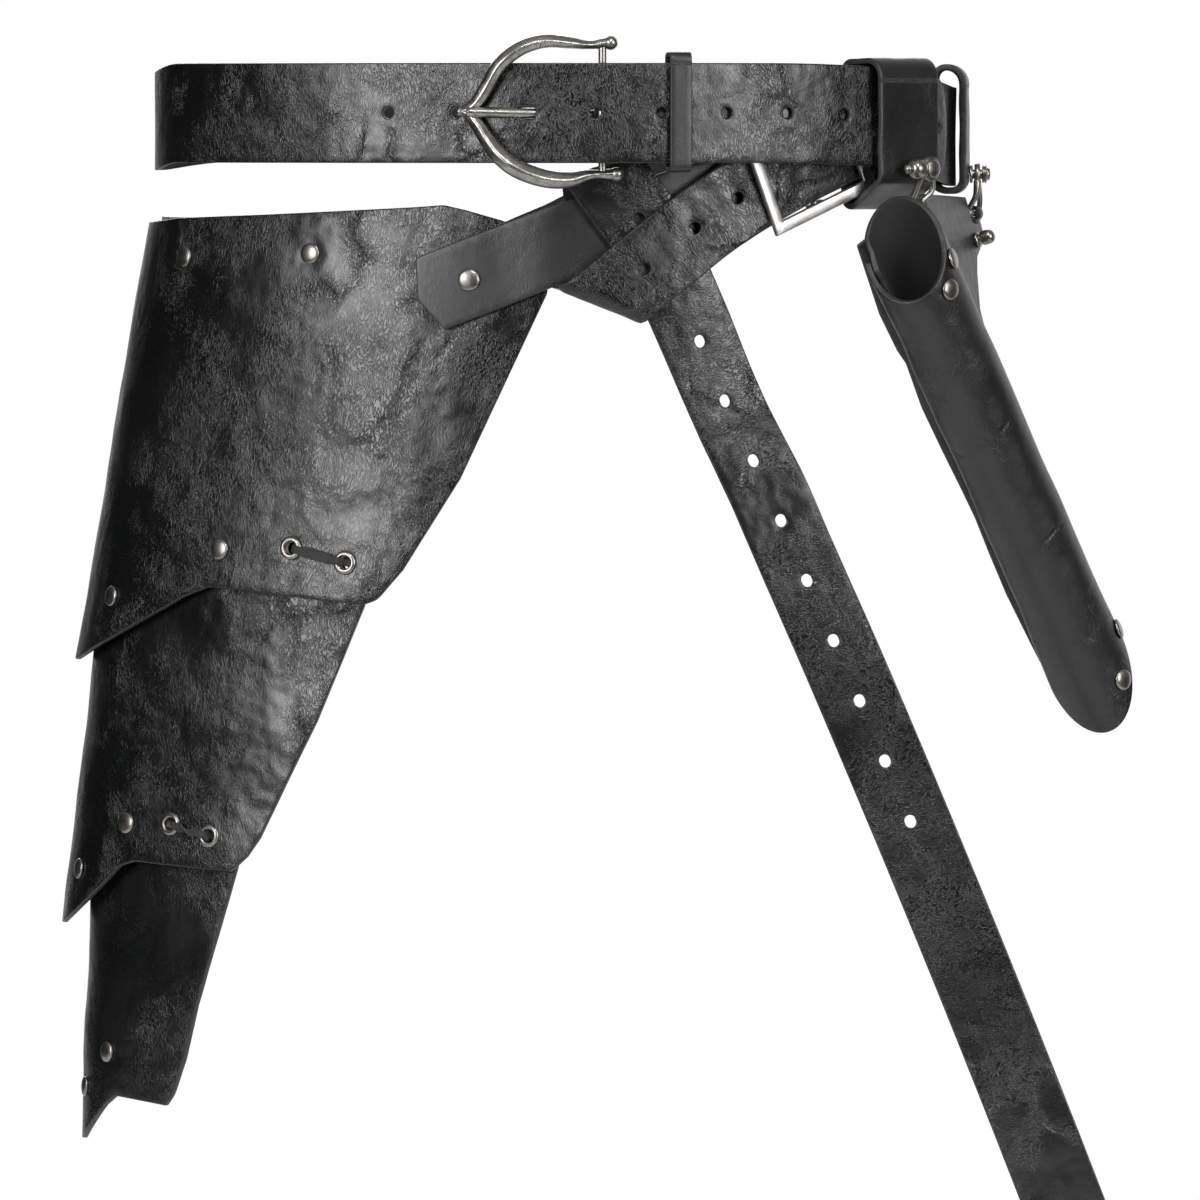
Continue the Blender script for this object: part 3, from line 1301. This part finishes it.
def addHipBelt():
    line = hipLine()
    half = hip["width"] / 2
    # the part behind the knot ends just short of the top fold
    u = np.arange(0, 112, 1.0)
    top, below = foldLine(hip["topFold"])
    ends = {}
    for v in (-half, half):
        across, height = roundLayer(line.place(u, np.full(len(u), v), np.zeros(len(u))))
        spots = folded(across, height, 0.0, hip["fold"], hip["sheet"], hip["under"], 1.0)
        hidden = (np.stack(roundLayer(spots), axis=1) - top) @ below < hip["tuckedShort"]
        ends[v] = float(u[hidden][-1]) + 1 if hidden.any() else 0.0
    outline = [(ends[-half], -half), (line.length, -half), (line.length, half), (ends[half], half)]
    holes = []
    for spot in hip["holes"]:
        u, v = spotOn(line, layerSpot(*spot, hip["sheet"]))
        holes.append(roundHole(u, v, hip["holeWidth"], hip["holeWidth"] + 0.8))
    for spot in plates["upper"]["rivets"][:2]:
        deep = shells["upper"].frameAt(spot, -hip["inset"]).translation
        holes.append(shankHole(*spotOn(line, np.array(deep)), 3.9))
    waves = swell(29, 60, 0.25)
    small = swell(31, 17, 0.16)
    # rucks where the hip buckle pulls
    buckleAt = spotOn(line, layerSpot(*hip["buckleAt"], hip["sheet"]))[0]

    def wave(u, v):
        ruck = np.exp(-((u - buckleAt) / 15) ** 2)
        pull = 0.385 * np.sin((u - buckleAt) / 2.9 + 0.35 * np.sin(v / 6)) * ruck * smooth((v + 24) / 30)
        calm = smooth((u - 60) / 30) * (1 - smooth((u - 330) / 60))
        return (waves(u, v) + small(u, v)) * calm + pull

    def place(u, v, w):
        across, height = roundLayer(line.place(u, v, np.zeros_like(w)))
        bent = folded(across, height, w, hip["fold"], hip["sheet"], hip["under"], 1.0)
        return np.where((u < 175)[:, None], bent, line.place(u, v, w))
    stock = Stock()
    cutLeather(stock, outline, place, holes, wave, hip["thick"])
    stock.piece("hip_belt_leather", "strapLeather", ["hip_belt", "hip_knot"], shift=411)


# The strap that comes over the top of the knot and hangs down as the tail
tail = {"top": (66.25, -107.05), "lean": 24.7, "length": 540, "point": 18, "holes": 9, "first": 6.8,
        "pitch": 32.8, "upperHole": (38.5, -52), "blendBefore": 10, "blendAfter": 34,
        "bendRadius": 480, "bendSide": 0.0572, "bendDrop": 0.0263, "forward": 6,
        "wrap": [(22, -28.7), (33.2, -44.5), (44.5, -60.5), (51.6, -74.4), (58.6, -89.6)]}


def tailLine():
    outAngle = math.degrees(math.asin(tail["top"][0] / (frontR + hip["wrap"])))
    hinge = layerSpot(*tail["top"], hip["wrap"])
    wrap = [layerSpot(*spot, hip["wrap"]) for spot in tail["wrap"]]
    start = wrap[0] + (wrap[0] - wrap[1]) * 1.6
    upper = throughPoints(np.vstack([[start], wrap, [hinge]]), 44)
    upper[:, 1] = frontY - np.sqrt((frontR + hip["wrap"]) ** 2 - upper[:, 0] ** 2)
    s = np.arange(6, tail["length"] + 1, 6.0)
    bow = 0.5 * s * s / tail["bendRadius"]
    lean = math.radians(tail["lean"])
    lower = np.stack([tail["top"][0] + s * math.sin(lean) - bow * tail["bendSide"],
                      hinge[1] - tail["forward"] * smooth(s / 400),
                      tail["top"][1] - s * math.cos(lean) - bow * tail["bendDrop"]], axis=1)
    turn = outAngle * (1 - smooth(s / 300))
    upperTurn = np.degrees(np.arcsin(upper[:, 0] / (frontR + hip["wrap"])))
    line = Line(np.vstack([upper, lower]), outward(np.concatenate([upperTurn, turn])))
    line.hinge = float(line.run[43])
    line.hingePoint = hinge
    return line


def addTail():
    line = tailLine()
    half = hip["width"] / 2
    end = line.length
    # cut the top square to its fold, a little down the inner side
    top, below = foldLine(hip["topFold"])
    reach = math.pi * abs(hip["wrap"] - hip["under"]) / 2 + 10
    u = np.arange(80.0)
    starts = []
    for v in (-half, half):
        rows = np.stack(roundLayer(line.place(u, np.full(80, v), np.zeros(80))), axis=1)
        starts.append(int(np.argmax((top - rows) @ below < reach)))
    outline = [(starts[0], -half), (end - tail["point"], -half), (end - 4, -8), (end, -3), (end, 3),
               (end - 4, 8), (end - tail["point"], half), (starts[1], half)]
    holes = [roundHole(line.hinge + tail["first"] + tail["pitch"] * i, 0, hip["holeWidth"],
                       hip["holeWidth"] + 1.0) for i in range(tail["holes"])]
    holes.append(roundHole(*spotOn(line, layerSpot(*tail["upperHole"], hip["wrap"])), hip["holeWidth"]))
    waves = swell(41, 80, 0.8)
    small = swell(43, 20, 0.14)

    def wave(u, v):
        free = smooth((u - line.hinge - 30) / 80)
        return waves(u, v * 0.4) * free + small(u, v) * smooth((u - line.hinge) / 20)

    def place(u, v, w):
        flat = line.place(u, v, w)
        across, height = roundLayer(line.place(u, v, np.zeros_like(w)))
        bent = folded(across, height, w, hip["topFold"], hip["wrap"], hip["under"], -1.0)
        share = smooth((u - line.hinge - 5) / 90)[:, None]
        return bent * (1 - share) + flat * share
    stock = Stock()
    cutLeather(stock, outline, place, holes, wave, hip["thick"])
    strap = stock.piece("hip_tail_leather", "strapLeather", ["hip_tail"], shift=977, rides=False)
    down = unit(line.points[60] - line.points[40])
    start = line.hingePoint - down * tail["blendBefore"]
    stop = line.hingePoint + down * tail["blendAfter"]
    tuple(start / 1000)
    tuple(stop / 1000)
    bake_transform(strap)


def addFrontStrap():
    # it lies on the plate with its pointed end, and its other end turns round the buckle's bar
    upper = shells["upper"]
    big = arcRadius(upper.half, upper.depth, upper.side)
    outline = [seenAt(*spot, hip["front"]) for spot in frontStrap["outline"]]
    waves = swell(53, 70, 0.2)

    def place(u, v, w):
        spots = onLayer(u, v, hip["front"] + w)
        lx = (spots[:, 0] - upper.facts["at"][0]) * math.cos(upper.lean) \
            - (spots[:, 2] - upper.facts["at"][1]) * math.sin(upper.lean) - upper.half
        reach = big + 0.25 + hip["thick"] / 2 + w
        onPlate = plateMake["middleY"] + big - upper.depth - np.sqrt(reach ** 2 - lx ** 2)
        share = smooth((-u - 4) / 34)
        between = spots[:, 1] * (1 - share) + onPlate * share
        spots[:, 1] = np.minimum(between, np.where(u < 12, onPlate, spots[:, 1]))
        return spots
    hole = shankHole(*seenAt(*frontStrap["rivetAt"], hip["front"]))
    stock = Stock()
    cutLeather(stock, outline, place, [hole], waves, hip["thick"], corner=1.2)
    curl = [(1.9, -20), (1.9, 20), (2.4, 20.0), (3.0, 19.9), (3.4, 19.4), (3.45, 19), (3.45, -19),
            (3.4, -19.4), (3.0, -19.9), (2.4, -20.0)]
    addTurned(stock, onHipBuckle(hipBuckle["barOff"]), curl, 28, turnedRing)
    stock.piece("hip_front_strap_leather", "smoothLeather", ["hip_front_strap"], shift=613)
    stock = Stock()
    addTurned(stock, upper.frameAt(frontStrap["rivetAt"]),
              rivetProfile(plateMake["thick"] - 0.2, frontStrap["lift"], 11), 44)
    stock.piece("hip_front_strap_rivet_head", "nickel", ["hip_front_strap_rivet"])


hipBuckle = {"at": (122, -23.5), "turn": 22.5, "length": 64, "inside": 42, "bar": 6, "thick": 3.5,
             "frameOff": -7.45, "barOff": -16.25, "lug": 8, "lugOver": 2.0, "lugLift": 1.6}


def onHipBuckle(off):
    phi = math.degrees(math.asin(hipBuckle["at"][0] / (frontR + hip["sheet"])))
    return onWaist(phi, off, hipBuckle["at"][1]) @ spin(-hipBuckle["turn"], "Y")


def blockSection(width, thick, lip):
    # a bar's section with rounded corners, as across, depth and cut
    points = []
    for sx, sy, start in ((1, 1, 0), (-1, 1, 90), (-1, -1, 180), (1, -1, 270)):
        for t in np.linspace(start, start + 90, 4):
            points.append((sx * (width / 2 - lip) + lip * math.cos(math.radians(t)),
                           sy * (thick / 2 - lip) + lip * math.sin(math.radians(t)), 0.0))
    return points


def addHipBuckle():
    frameAt = onHipBuckle(hipBuckle["frameOff"])
    x = (hipBuckle["length"] - hipBuckle["bar"]) / 2
    z = (hipBuckle["inside"] + hipBuckle["bar"]) / 2
    corners = [(x, z), (-x, z), (-x, -z), (x, -z)]
    points, acrosses = [], []
    for here, after in zip(corners, corners[1:] + corners[:1]):
        ahead = unit(np.array(after) - here)
        side = np.array([ahead[1], -ahead[0]])
        back = np.array([np.sign(here[0]), np.sign(here[1])])
        points.append((here[0], 0, here[1]))
        acrosses.append((back[0], 0, back[1]))
        for share in (0.06, 0.5, 0.94):
            spot = np.array(here) + (np.array(after) - here) * share
            points.append((spot[0], 0, spot[1]))
            acrosses.append((side[0], 0, side[1]))
    stock = Stock()
    turn = np.array(frameAt)[:3, :3]
    sweep(stock, moved(frameAt, points), np.tile(turn @ (0, -1, 0), (len(points), 1)),
          np.array(acrosses) @ turn.T, blockSection(hipBuckle["bar"], hipBuckle["thick"], 0.7),
          closed=True)
    deep = hipBuckle["frameOff"] - hipBuckle["barOff"]
    a, b = hipBuckle["lug"] / 2, hipBuckle["lug"] / 4
    # two lugs join the frame to the ends of its bar
    for s in (-1, 1):
        middle = frameAt @ Matrix.Translation((0, deep / 2 + hipBuckle["lugLift"], s * z))
        cutLeather(stock, [(-a, -b), (a, -b), (a, b), (-a, b)],
                   lambda u, v, w: moved(middle, np.stack([u, -w, v], axis=-1)),
                   thick=deep + hipBuckle["lugOver"], grid=3.0, lip=0.5, corner=0.6)
    stock.piece("hip_buckle_frame_cast", "satinSteel", ["hip_buckle_frame"], sharp=38)
    dress("hip_buckle_bar", "satinSteel")


outer = None
for name in plates:
    addPlate(name, outer)
    outer = name
print("leg plates cut")
upperRivets, middleRivets, lowerRivets = (plates[name]["rivets"] for name in plates)
addRunners("upper", [(upperRivets[1], upperRivets[2]), (upperRivets[0], upperRivets[3])], (0.05, 0.05))
addRunners("middle", list(zip(upperRivets[2:], middleRivets)), (-0.12, 0.06))
addRunners("lower", list(zip(middleRivets, lowerRivets)), (-0.14, 0.06))
# the last numbers are how much leather each rivet holds
addRivets("upper_plate_belt_rivets", "upper", upperRivets[:2], (9.2, 9.2))
addRivets("upper_plate_hinge_rivets", "upper", upperRivets[2:], (11.5, 11.5))
addRivets("middle_plate_hinge_rivets", "middle", middleRivets, (12.5, 14.6))
addRivets("lower_plate_rivets", "lower", lowerRivets, (6.1, 6.1))
for name in ("upper", "middle"):
    addEyelets(name)
    addLace(name)
print("rivets, eyelets and laces set")
addHipBelt()
addTail()
addFrontStrap()
addHipBuckle()
print("hip belt knotted")


# Frog: two loops on the belts, the rolled tube with its back panel, and the metal between them
loops = {"width": 40, "thick": 3, "big": 10, "small": 7,
         "front": {"phi": 43.5, "line": (11.8, 29.5, 28.6, -36.4, 11)},
         "rear": {"phi": (78, 101.5), "line": (8.4, 18, 25.7, -39.8, 0)}}


def loopLine(facts):
    # the middle line of a loop's leather as (outward, up), with its outward directions
    x, deep, top, low, drop = facts
    big, small = loops["big"], loops["small"]
    lower, inner = (x - small, low + small), (x - deep + small, low + small - drop)
    slope = math.degrees(math.atan2(lower[1] - inner[1], lower[0] - inner[0]))
    points, outs = [], []
    for centre, r, start, end in (((x - big, top - big), big, 0, 90),
                                  ((x - deep + small, top - small), small, 90, 180),
                                  (inner, small, 180, 270 + slope), (lower, small, 270 + slope, 360)):
        for t in np.radians(np.linspace(start, end, 9)):
            way = np.array([math.cos(t), math.sin(t)])
            points.append(np.array(centre) + (r - loops["thick"] / 2) * way)
            outs.append(way)
    return filled(np.array(points), np.array(outs), 2.5)


def addLoop(name, facts, toWorld, seed):
    # made at the middle of the frame first, and then brought to its place on the belts
    line, outs = loopLine(facts["line"])
    stock = Stock()
    addBand(stock, Matrix.Identity(4), line, outs, loops["width"], loops["thick"],
            swell(seed, 26, 0.175))
    stock.points = [toWorld(np.concatenate(stock.points))]
    stock.piece(name + "_leather", "frogLeather", [name], shift=seed * 31.0)


def onFrontLoop(points):
    return moved(onWaist(loops["front"]["phi"], 0, 0), points)


def onRearLoop(points):
    low, high = loops["rear"]["phi"]
    middle = (low + high) / 2
    reach = math.radians(high - low) * (waist["side"] + loops["rear"]["line"][0] - loops["thick"] / 2)
    phi = middle + points[:, 0] / reach * (high - low)
    x, y = waistPoint(phi, -points[:, 1])
    return np.stack([x, y, points[:, 2]], axis=1)


tube = {"at": (172.1, -112, -68.5), "tilt": (20.5, -24.2), "bore": 36, "wall": 3,
        "mouth": (-14.9, 45.4, 2), "toe": (-10.7, 58.3, -243), "seam": -103, "wrap": 372,
        "mouthFlare": 1.2, "toeFlare": 2.0,
        "rivets": [(34, -21), (66, -10), (35, -253), (78, -232)]}
tubeFrame = Matrix.Translation(tube["at"]) @ spin(tube["tilt"][1], "Y") @ spin(tube["tilt"][0], "X")
tubeR = tube["bore"] / 2 + tube["wall"]
tubeMid = tubeR - tube["wall"] / 2


def cutHeight(cut, theta, r=tubeR):
    # height of a slanting cut at a turn round the tube
    turn, slant = math.radians(cut[0]), math.radians(cut[1])
    x, y = r * np.sin(theta), -r * np.cos(theta)
    return cut[2] - (math.sin(slant) * math.sin(turn) * x - math.sin(slant) * math.cos(turn) * y) \
        / math.cos(slant)


def onTube(u, v, w):
    theta = np.asarray(u, float) / tubeMid
    end = math.radians(tube["seam"] + tube["wrap"])
    tuck = (tube["wall"] + 0.2) * smooth((theta - end + 0.75) / 0.42)
    face = 0.55 + 0.45 * np.cos(theta + 0.5)
    mouth = tube["mouthFlare"] * np.exp(-((v - cutHeight(tube["mouth"], theta)) / 22) ** 2)
    toe = tube["toeFlare"] * smooth((-v - 195) / 60) * (0.6 - 0.4 * np.sin(theta))
    dent = -0.9 * np.exp(-((v + 130) / 70) ** 2) * smooth(-np.sin(theta))
    r = tubeMid + w - tuck + (mouth + toe) * face * 0.9 + dent
    spots = np.stack([np.sin(theta) * r, -np.cos(theta) * r, np.asarray(v, float)], axis=-1)
    return moved(tubeFrame, spots)


def addTube():
    turns = np.radians(np.linspace(tube["seam"], tube["seam"] + tube["wrap"], 110))
    top, low = ([(t * tubeMid, float(cutHeight(tube[cut], t, tubeMid))) for t in turns]
                for cut in ("mouth", "toe"))
    rivets = [(math.radians(t) * tubeMid, z) for t, z in tube["rivets"]]
    holes = [shankHole(*spot) for spot in rivets]
    waves = swell(61, 34, 0.22)
    ripples = swell(67, 90, 0.35)

    def wave(u, v):
        calm = smooth((cutHeight(tube["mouth"], u / tubeMid) - v) / 30)
        return (waves(u, v) + ripples(u, v)) * calm * 0.7
    stock = Stock()
    cutLeather(stock, top[::-1] + low, onTube, holes, wave, tube["wall"], 2.6, corner=0.8)
    stock.piece("frog_tube_leather", "frogLeather", ["frog_tube"], shift=1301)
    stock = Stock()
    for u, z in rivets:
        centre, right, above = (oneSpot(onTube, u + a, z + b, tube["wall"] / 2)
                                for a, b in ((0, 0), (1, 0), (0, 1)))
        addTurned(stock, aimed(centre, np.cross(right - centre, above - centre)),
                  rivetProfile(tube["wall"] - 0.9), 40)
    stock.piece("frog_tube_rivet_heads", "nickel", ["frog_tube_rivets"])


# The back panel is flat behind the tube and turns back round the hip to the rear link
frogHinge = {"front": np.array([178, -81, -46.0]), "rear": np.array([209, 2, -50.0]), "wire": 3}
hingeAxis = unit(frogHinge["rear"] - frogHinge["front"])
panel = {"thick": 3, "back": tubeR + 1.8, "flankRoll": -15.9, "low": -144.0,
         "tabBore": 1.9, "tabThick": 2.1, "tabLength": 5,
         "left": [(-21, 5), (-24.6, -34), (-23.9, -55), (-22.4, -64), (-24.2, -90), (-23.6, -115),
                  (-22.6, -141), (-22.2, -157), (-23, -178), (-23.4, -202), (-22.2, -233), (-21.6, -244),
                  (-16, -238), (-8, -216), (2, -187), (10, -158)],
         "flank": [(104, 58), (80, 56), (52, 55.5), (33, 65.5), (24, 72), (13, 91.2), (3, 91.2),
                   (3, 86.2), (5.5, 85.9), (5.5, 78.5), (-8, 77.5), (-7, 11.5), (5.5, 10.4),
                   (5.5, 2.8), (3, 2.5), (3, -2.5)],
         "top": [(9, 0.5), (-3, 0.5), (-10, 8)], "stud": (15, 76)}


def panelLine():
    # the panel's middle line across the tube, and the hinge's place and direction there
    x, y = np.array(tubeFrame.inverted() @ Vector(frogHinge["front"]))[:2]
    side = unit(np.array(tubeFrame.inverted().to_3x3() @ Vector(hingeAxis))[:2])
    inner, back = np.array([x, y]), panel["back"]
    rows = [(-30, back), (-12, back), (x - 14, back), (x - 9, back + 1.6), (x - 4, back + 6),
            (x - 1.2, y - 4), inner, inner + side * 10, inner + side * 45, inner + side * 90]
    path = throughPoints(rows, 260)
    run = runOf(path)
    hinge = run[np.argmin(np.linalg.norm(path - inner, axis=1))]
    return path, run, hinge, inner, side


def addPanel():
    path, run, hinge, inner, side = panelLine()
    ways = unit(np.gradient(path, axis=0))
    flank = aimed(frogHinge["front"], hingeAxis, panel["flankRoll"]) @ spin(90, "X")

    def place(u, v, w):
        x, y = np.interp(u, run, path[:, 0]), np.interp(u, run, path[:, 1])
        dx, dy = np.interp(u, run, ways[:, 0]), np.interp(u, run, ways[:, 1])
        curl = 1.3 * np.sin(v / 19) * smooth((run[40] - u) / 14) * smooth((-v - 20) / 30)
        return moved(tubeFrame, np.stack([x + dy * w, y - dx * w + np.abs(curl), v], axis=-1))

    def byX(x, z):
        return float(np.interp(x, path[:, 0], run)), z

    def byFlank(point):
        local = tubeFrame.inverted() @ flank @ Vector((*point, 0))
        return hinge + float((np.array(local)[:2] - inner) @ side), float(local[2])
    outline = [byX(*spot) for spot in panel["left"]] + [(hinge, panel["low"])]
    outline += [byFlank(spot) for spot in panel["flank"]] + [byX(*spot) for spot in panel["top"]]
    hole = byFlank(panel["stud"])
    waves = swell(71, 50, 0.45)

    def wave(u, v):
        return waves(u, v) * smooth((-v - 60) / 40) * 0.5
    stock = Stock()
    cutLeather(stock, outline, place, [shankHole(*hole)], wave, panel["thick"])
    r, thick, half = panel["tabBore"], panel["tabThick"], panel["tabLength"] / 2
    for end in ("front", "rear"):
        addHub(stock, aimed(frogHinge[end], hingeAxis), r, r + thick, -half, half,
               (0.4, 0.4), (0.4, 0.4), 28)
    stock.piece("frog_panel_leather", "frogLeather", ["frog_back_panel"], shift=1571)
    stock = Stock()
    thick = panel["thick"]
    studAt = flank @ Matrix.Translation((*panel["stud"], thick / 2))
    cap = [(0, -1.4), (3.7, -1.4), (4, -1.1), (4, -0.5), (3.7, -0.25), (1.75, -0.25)]
    head = [(1.75, 0.2), (3.8, 0.2), (4.1, 0.5), (4.1, 1.4), (3.6, 1.9), (2.7, 2.2), (2.5, 2.9),
            (3.3, 3.3), (3.7, 3.8), (3.8, 5.4), (3.7, 7.0), (3.3, 8.4), (2.5, 9.4), (1.3, 10.0),
            (0, 10.2)]
    addTurned(stock, studAt, [(r, z - thick) for r, z in cap] + head, 40)
    stock.piece("frog_stud_turned", "nickel", ["frog_stud"], sharp=50)


# Posts and links. Each post is heading, place along the loop, height, face and head
posts = {"front": (43.5, 7, -27, 11.8, 12), "rear": (88, 0, -30, 8.4, 9)}
linkMake = {"washer": 2.8, "washerOff": 2.6, "bow": 3.4}
barrelProfile = [(0, 0), (2, 0), (2, 5.5), (4.5, 5.6), (4.9, 5.9), (4.9, 6.7), (4.4, 7.0), (4.4, 7.3),
                 (4.9, 7.6), (5, 8), (5, 9.8), (4.7, 11.4), (4.0, 12.6), (2.9, 13.5), (1.5, 13.9),
                 (1.5, 14.3), (2.1, 14.8), (2.4, 15.6), (2.2, 16.5), (1.5, 17.3), (0, 17.7)]


def postFrame(post):
    phi, along, height, face, _ = post
    return onWaist(phi, face, height) @ Matrix.Translation((along, 0, 0)) @ spin(90, "X")


def addPost(side):
    post = posts[side]
    r = post[4] / 2
    stock = Stock()
    addTurned(stock, postFrame(post),
              [(0, 0.1), (4.2, 0.1), (4.5, 0.4), (4.5, 1.3), (4.2, 1.65), (2.5, 1.7), (2.5, 6.4),
               (r - 0.4, 6.4), (r, 6.8), (r, 7.2), (r - 0.3, 7.5), (r - 0.3, 7.8), (r, 8.1), (r, 8.5),
               (r - 0.4, 8.8), (r - 1.3, 8.85), (r - 1.35, 9.5), (r - 1.6, 10.1), (r - 2.4, 10.5),
               (0, 10.7)], 44)
    if side == "front":
        barrel = postFrame(post) @ Matrix.Translation((0, 0, 7.6)) @ spin(-90, "Y")
        addTurned(stock, barrel, barrelProfile, 44)
    node = "frog_" + side + "_post"
    stock.piece(node + "_turned", "nickel", [node], sharp=42)


def addLink(side):
    post, at = posts[side], frogHinge[side]
    phi, run, height, face, _ = post
    stock = Stock()
    low, thick = linkMake["washerOff"], linkMake["washer"]
    addHub(stock, postFrame(post), 2.75, 5.5, low, low + thick, (0.35, 0.4), (0.4, 0.5), 44)
    x, y = waistPoint(phi, face + low + thick / 2)
    along = np.array([math.cos(math.radians(phi)), math.sin(math.radians(phi)), 0])
    eye = np.array([float(x), float(y), height]) + along * run
    out = outward(phi)
    wire = frogHinge["wire"] / 2
    # two bent legs from the eye, then the cross wire
    for s in (-1, 1):
        start = eye + along * s * 3 - (0, 0, 3.8)
        end = at + hingeAxis * s * 7
        bow = linkMake["bow"] * (1 if s > 0 else 0.45)
        middle = (start + end) / 2 + along * s * bow + out * 0.8
        knee = start + (end - start) * 0.2 + along * s * bow * 0.7 + out * 0.5
        line = throughPoints([start, knee, middle, end + (0, 0, 2.5) + hingeAxis * s * 0.6, end], 22)
        radii = np.interp(np.linspace(0, 1, 22), (0, 0.4, 0.9, 1), (1.9, 1.45, 1.35, 1.9))
        rod(stock, line, radii, 18, lean=out)
    ends = np.linspace(-7.6, 7.6, 24)
    rod(stock, [at + hingeAxis * s for s in ends],
        [wire + 0.55 * (abs(s) > 6.2) * smooth((abs(s) - 6.2) / 0.5) for s in ends], 20)
    node = "frog_" + side + "_link"
    stock.piece(node + "_shackle", "nickel", [node], sharp=50)


addLoop("frog_front_loop", loops["front"], onFrontLoop, 81)
addLoop("frog_rear_loop", loops["rear"], onRearLoop, 83)
addTube()
addPanel()
for side in ("front", "rear"):
    addPost(side)
    addLink(side)
print("frog rolled and hung")


# Waist buckle. Each arm runs from its round end to the point of the horseshoe, as
# x, z, how far in front of the belt line, radius
buckle = {"apex": (-50.5, 1.8, 7.6, 2.5), "ball": 3.6, "ridge": 0.13, "flatBack": 0.26,
          "upper": [(24.3, 36, -3.65, 3.0), (20.5, 35.6, -3.65, 2.7), (16, 35.1, -2.6, 2.2),
                    (11, 35.1, -0.6, 2.3), (4, 36, 2.1, 2.9), (-8.5, 36.8, 6, 3.4), (-21, 33, 9.2, 3.7),
                    (-31, 25, 10, 3.7), (-37, 15, 8.6, 3.6), (-42, 7, 8.2, 3.4), (-46.4, 3, 8, 2.9),
                    (-49.6, 2, 7.8, 2.3)],
          "lower": [(27.3, -29.6, -3.65, 3.0), (22.5, -29.6, -3.65, 2.6), (17.5, -29.6, -3.0, 2.2),
                    (12, -30.2, -1.2, 2.9), (3, -32.4, 2, 4.1), (-9, -31.5, 6, 4.6),
                    (-22, -27, 9.8, 4.6), (-31.5, -20, 10, 4.3), (-37.5, -12, 8.6, 3.9),
                    (-42, -5, 8.2, 3.6), (-46.4, 0.2, 8, 3.0), (-49.6, 1.6, 7.8, 2.3)]}


def inFront(x, z, off):
    return np.array([x, frontY - math.sqrt(frontR ** 2 - x * x) - off, z])


def ridged(turn):
    back = max(0.0, -math.sin(turn))
    return 1 - buckle["flatBack"] * back ** 1.5 \
        + buckle["ridge"] * math.exp(-((turn - math.pi / 2) / 0.3) ** 2)


def addBuckle():
    stock = Stock()
    for side in ("upper", "lower"):
        rows = [(*inFront(x, z, off), r) for x, z, off, r in buckle[side]]
        line = throughPoints(rows, 110)
        cast = random.Random(7)
        radii = line[:, 3] * np.array([1 + 0.012 * cast.uniform(-1, 1) for _ in line])
        radii = np.convolve(np.pad(radii, 1, "edge"), np.ones(3) / 3, "valid")
        rod(stock, line[:, :3], radii, 40, shape=ridged)
        addBall(stock, inFront(*buckle[side][0][:3]), buckle["ball"])
    *apex, r = buckle["apex"]
    addBall(stock, inFront(*apex), r + 0.1)
    stock.piece("waist_buckle_rim_cast", "pewter", ["waist_buckle_frame"])


# "end" is x, z and how far in front of the belt line
prong = {"thick": 4.6, "end": (-46, 1.5, 11.5), "loop": 1.9}


def addProng():
    x, y = waistPoint(bar["phi"], bar["off"])
    start = np.array([float(x), float(y), 0])
    tip = inFront(*prong["end"])
    way = unit(tip - start)
    reach = np.linalg.norm(tip - start) + 1.6
    shares = np.array([4.5 / reach, 0.3, 0.55, 0.8, 0.96, 0.985, 1.0])
    radii = prong["thick"] / 2 * np.array([1.0, 1.1, 1.16, 1.14, 1.08, 1.02, 0.86])
    stock = Stock()
    line = throughPoints([(*(start + way * reach * s), r) for s, r in zip(shares, radii)], 60)
    rod(stock, line[:, :3], line[:, 3], 28, domes=False,
        shape=lambda t: 1 + 0.07 * math.exp(-((t - math.pi / 2) / 0.35) ** 2))
    r = bar["foldIn"]
    addHub(stock, Matrix.Translation(start), r, r + prong["loop"], -4, 5, (0.4, 0.1), (0.5, 0.5), 36)
    stock.piece("waist_buckle_prong_cast", "pewter", ["waist_buckle_prong"], sharp=50)


addBuckle()
addProng()
dress("waist_buckle_bar", "nickel")
print("waist buckle cast")


print("sizes written")
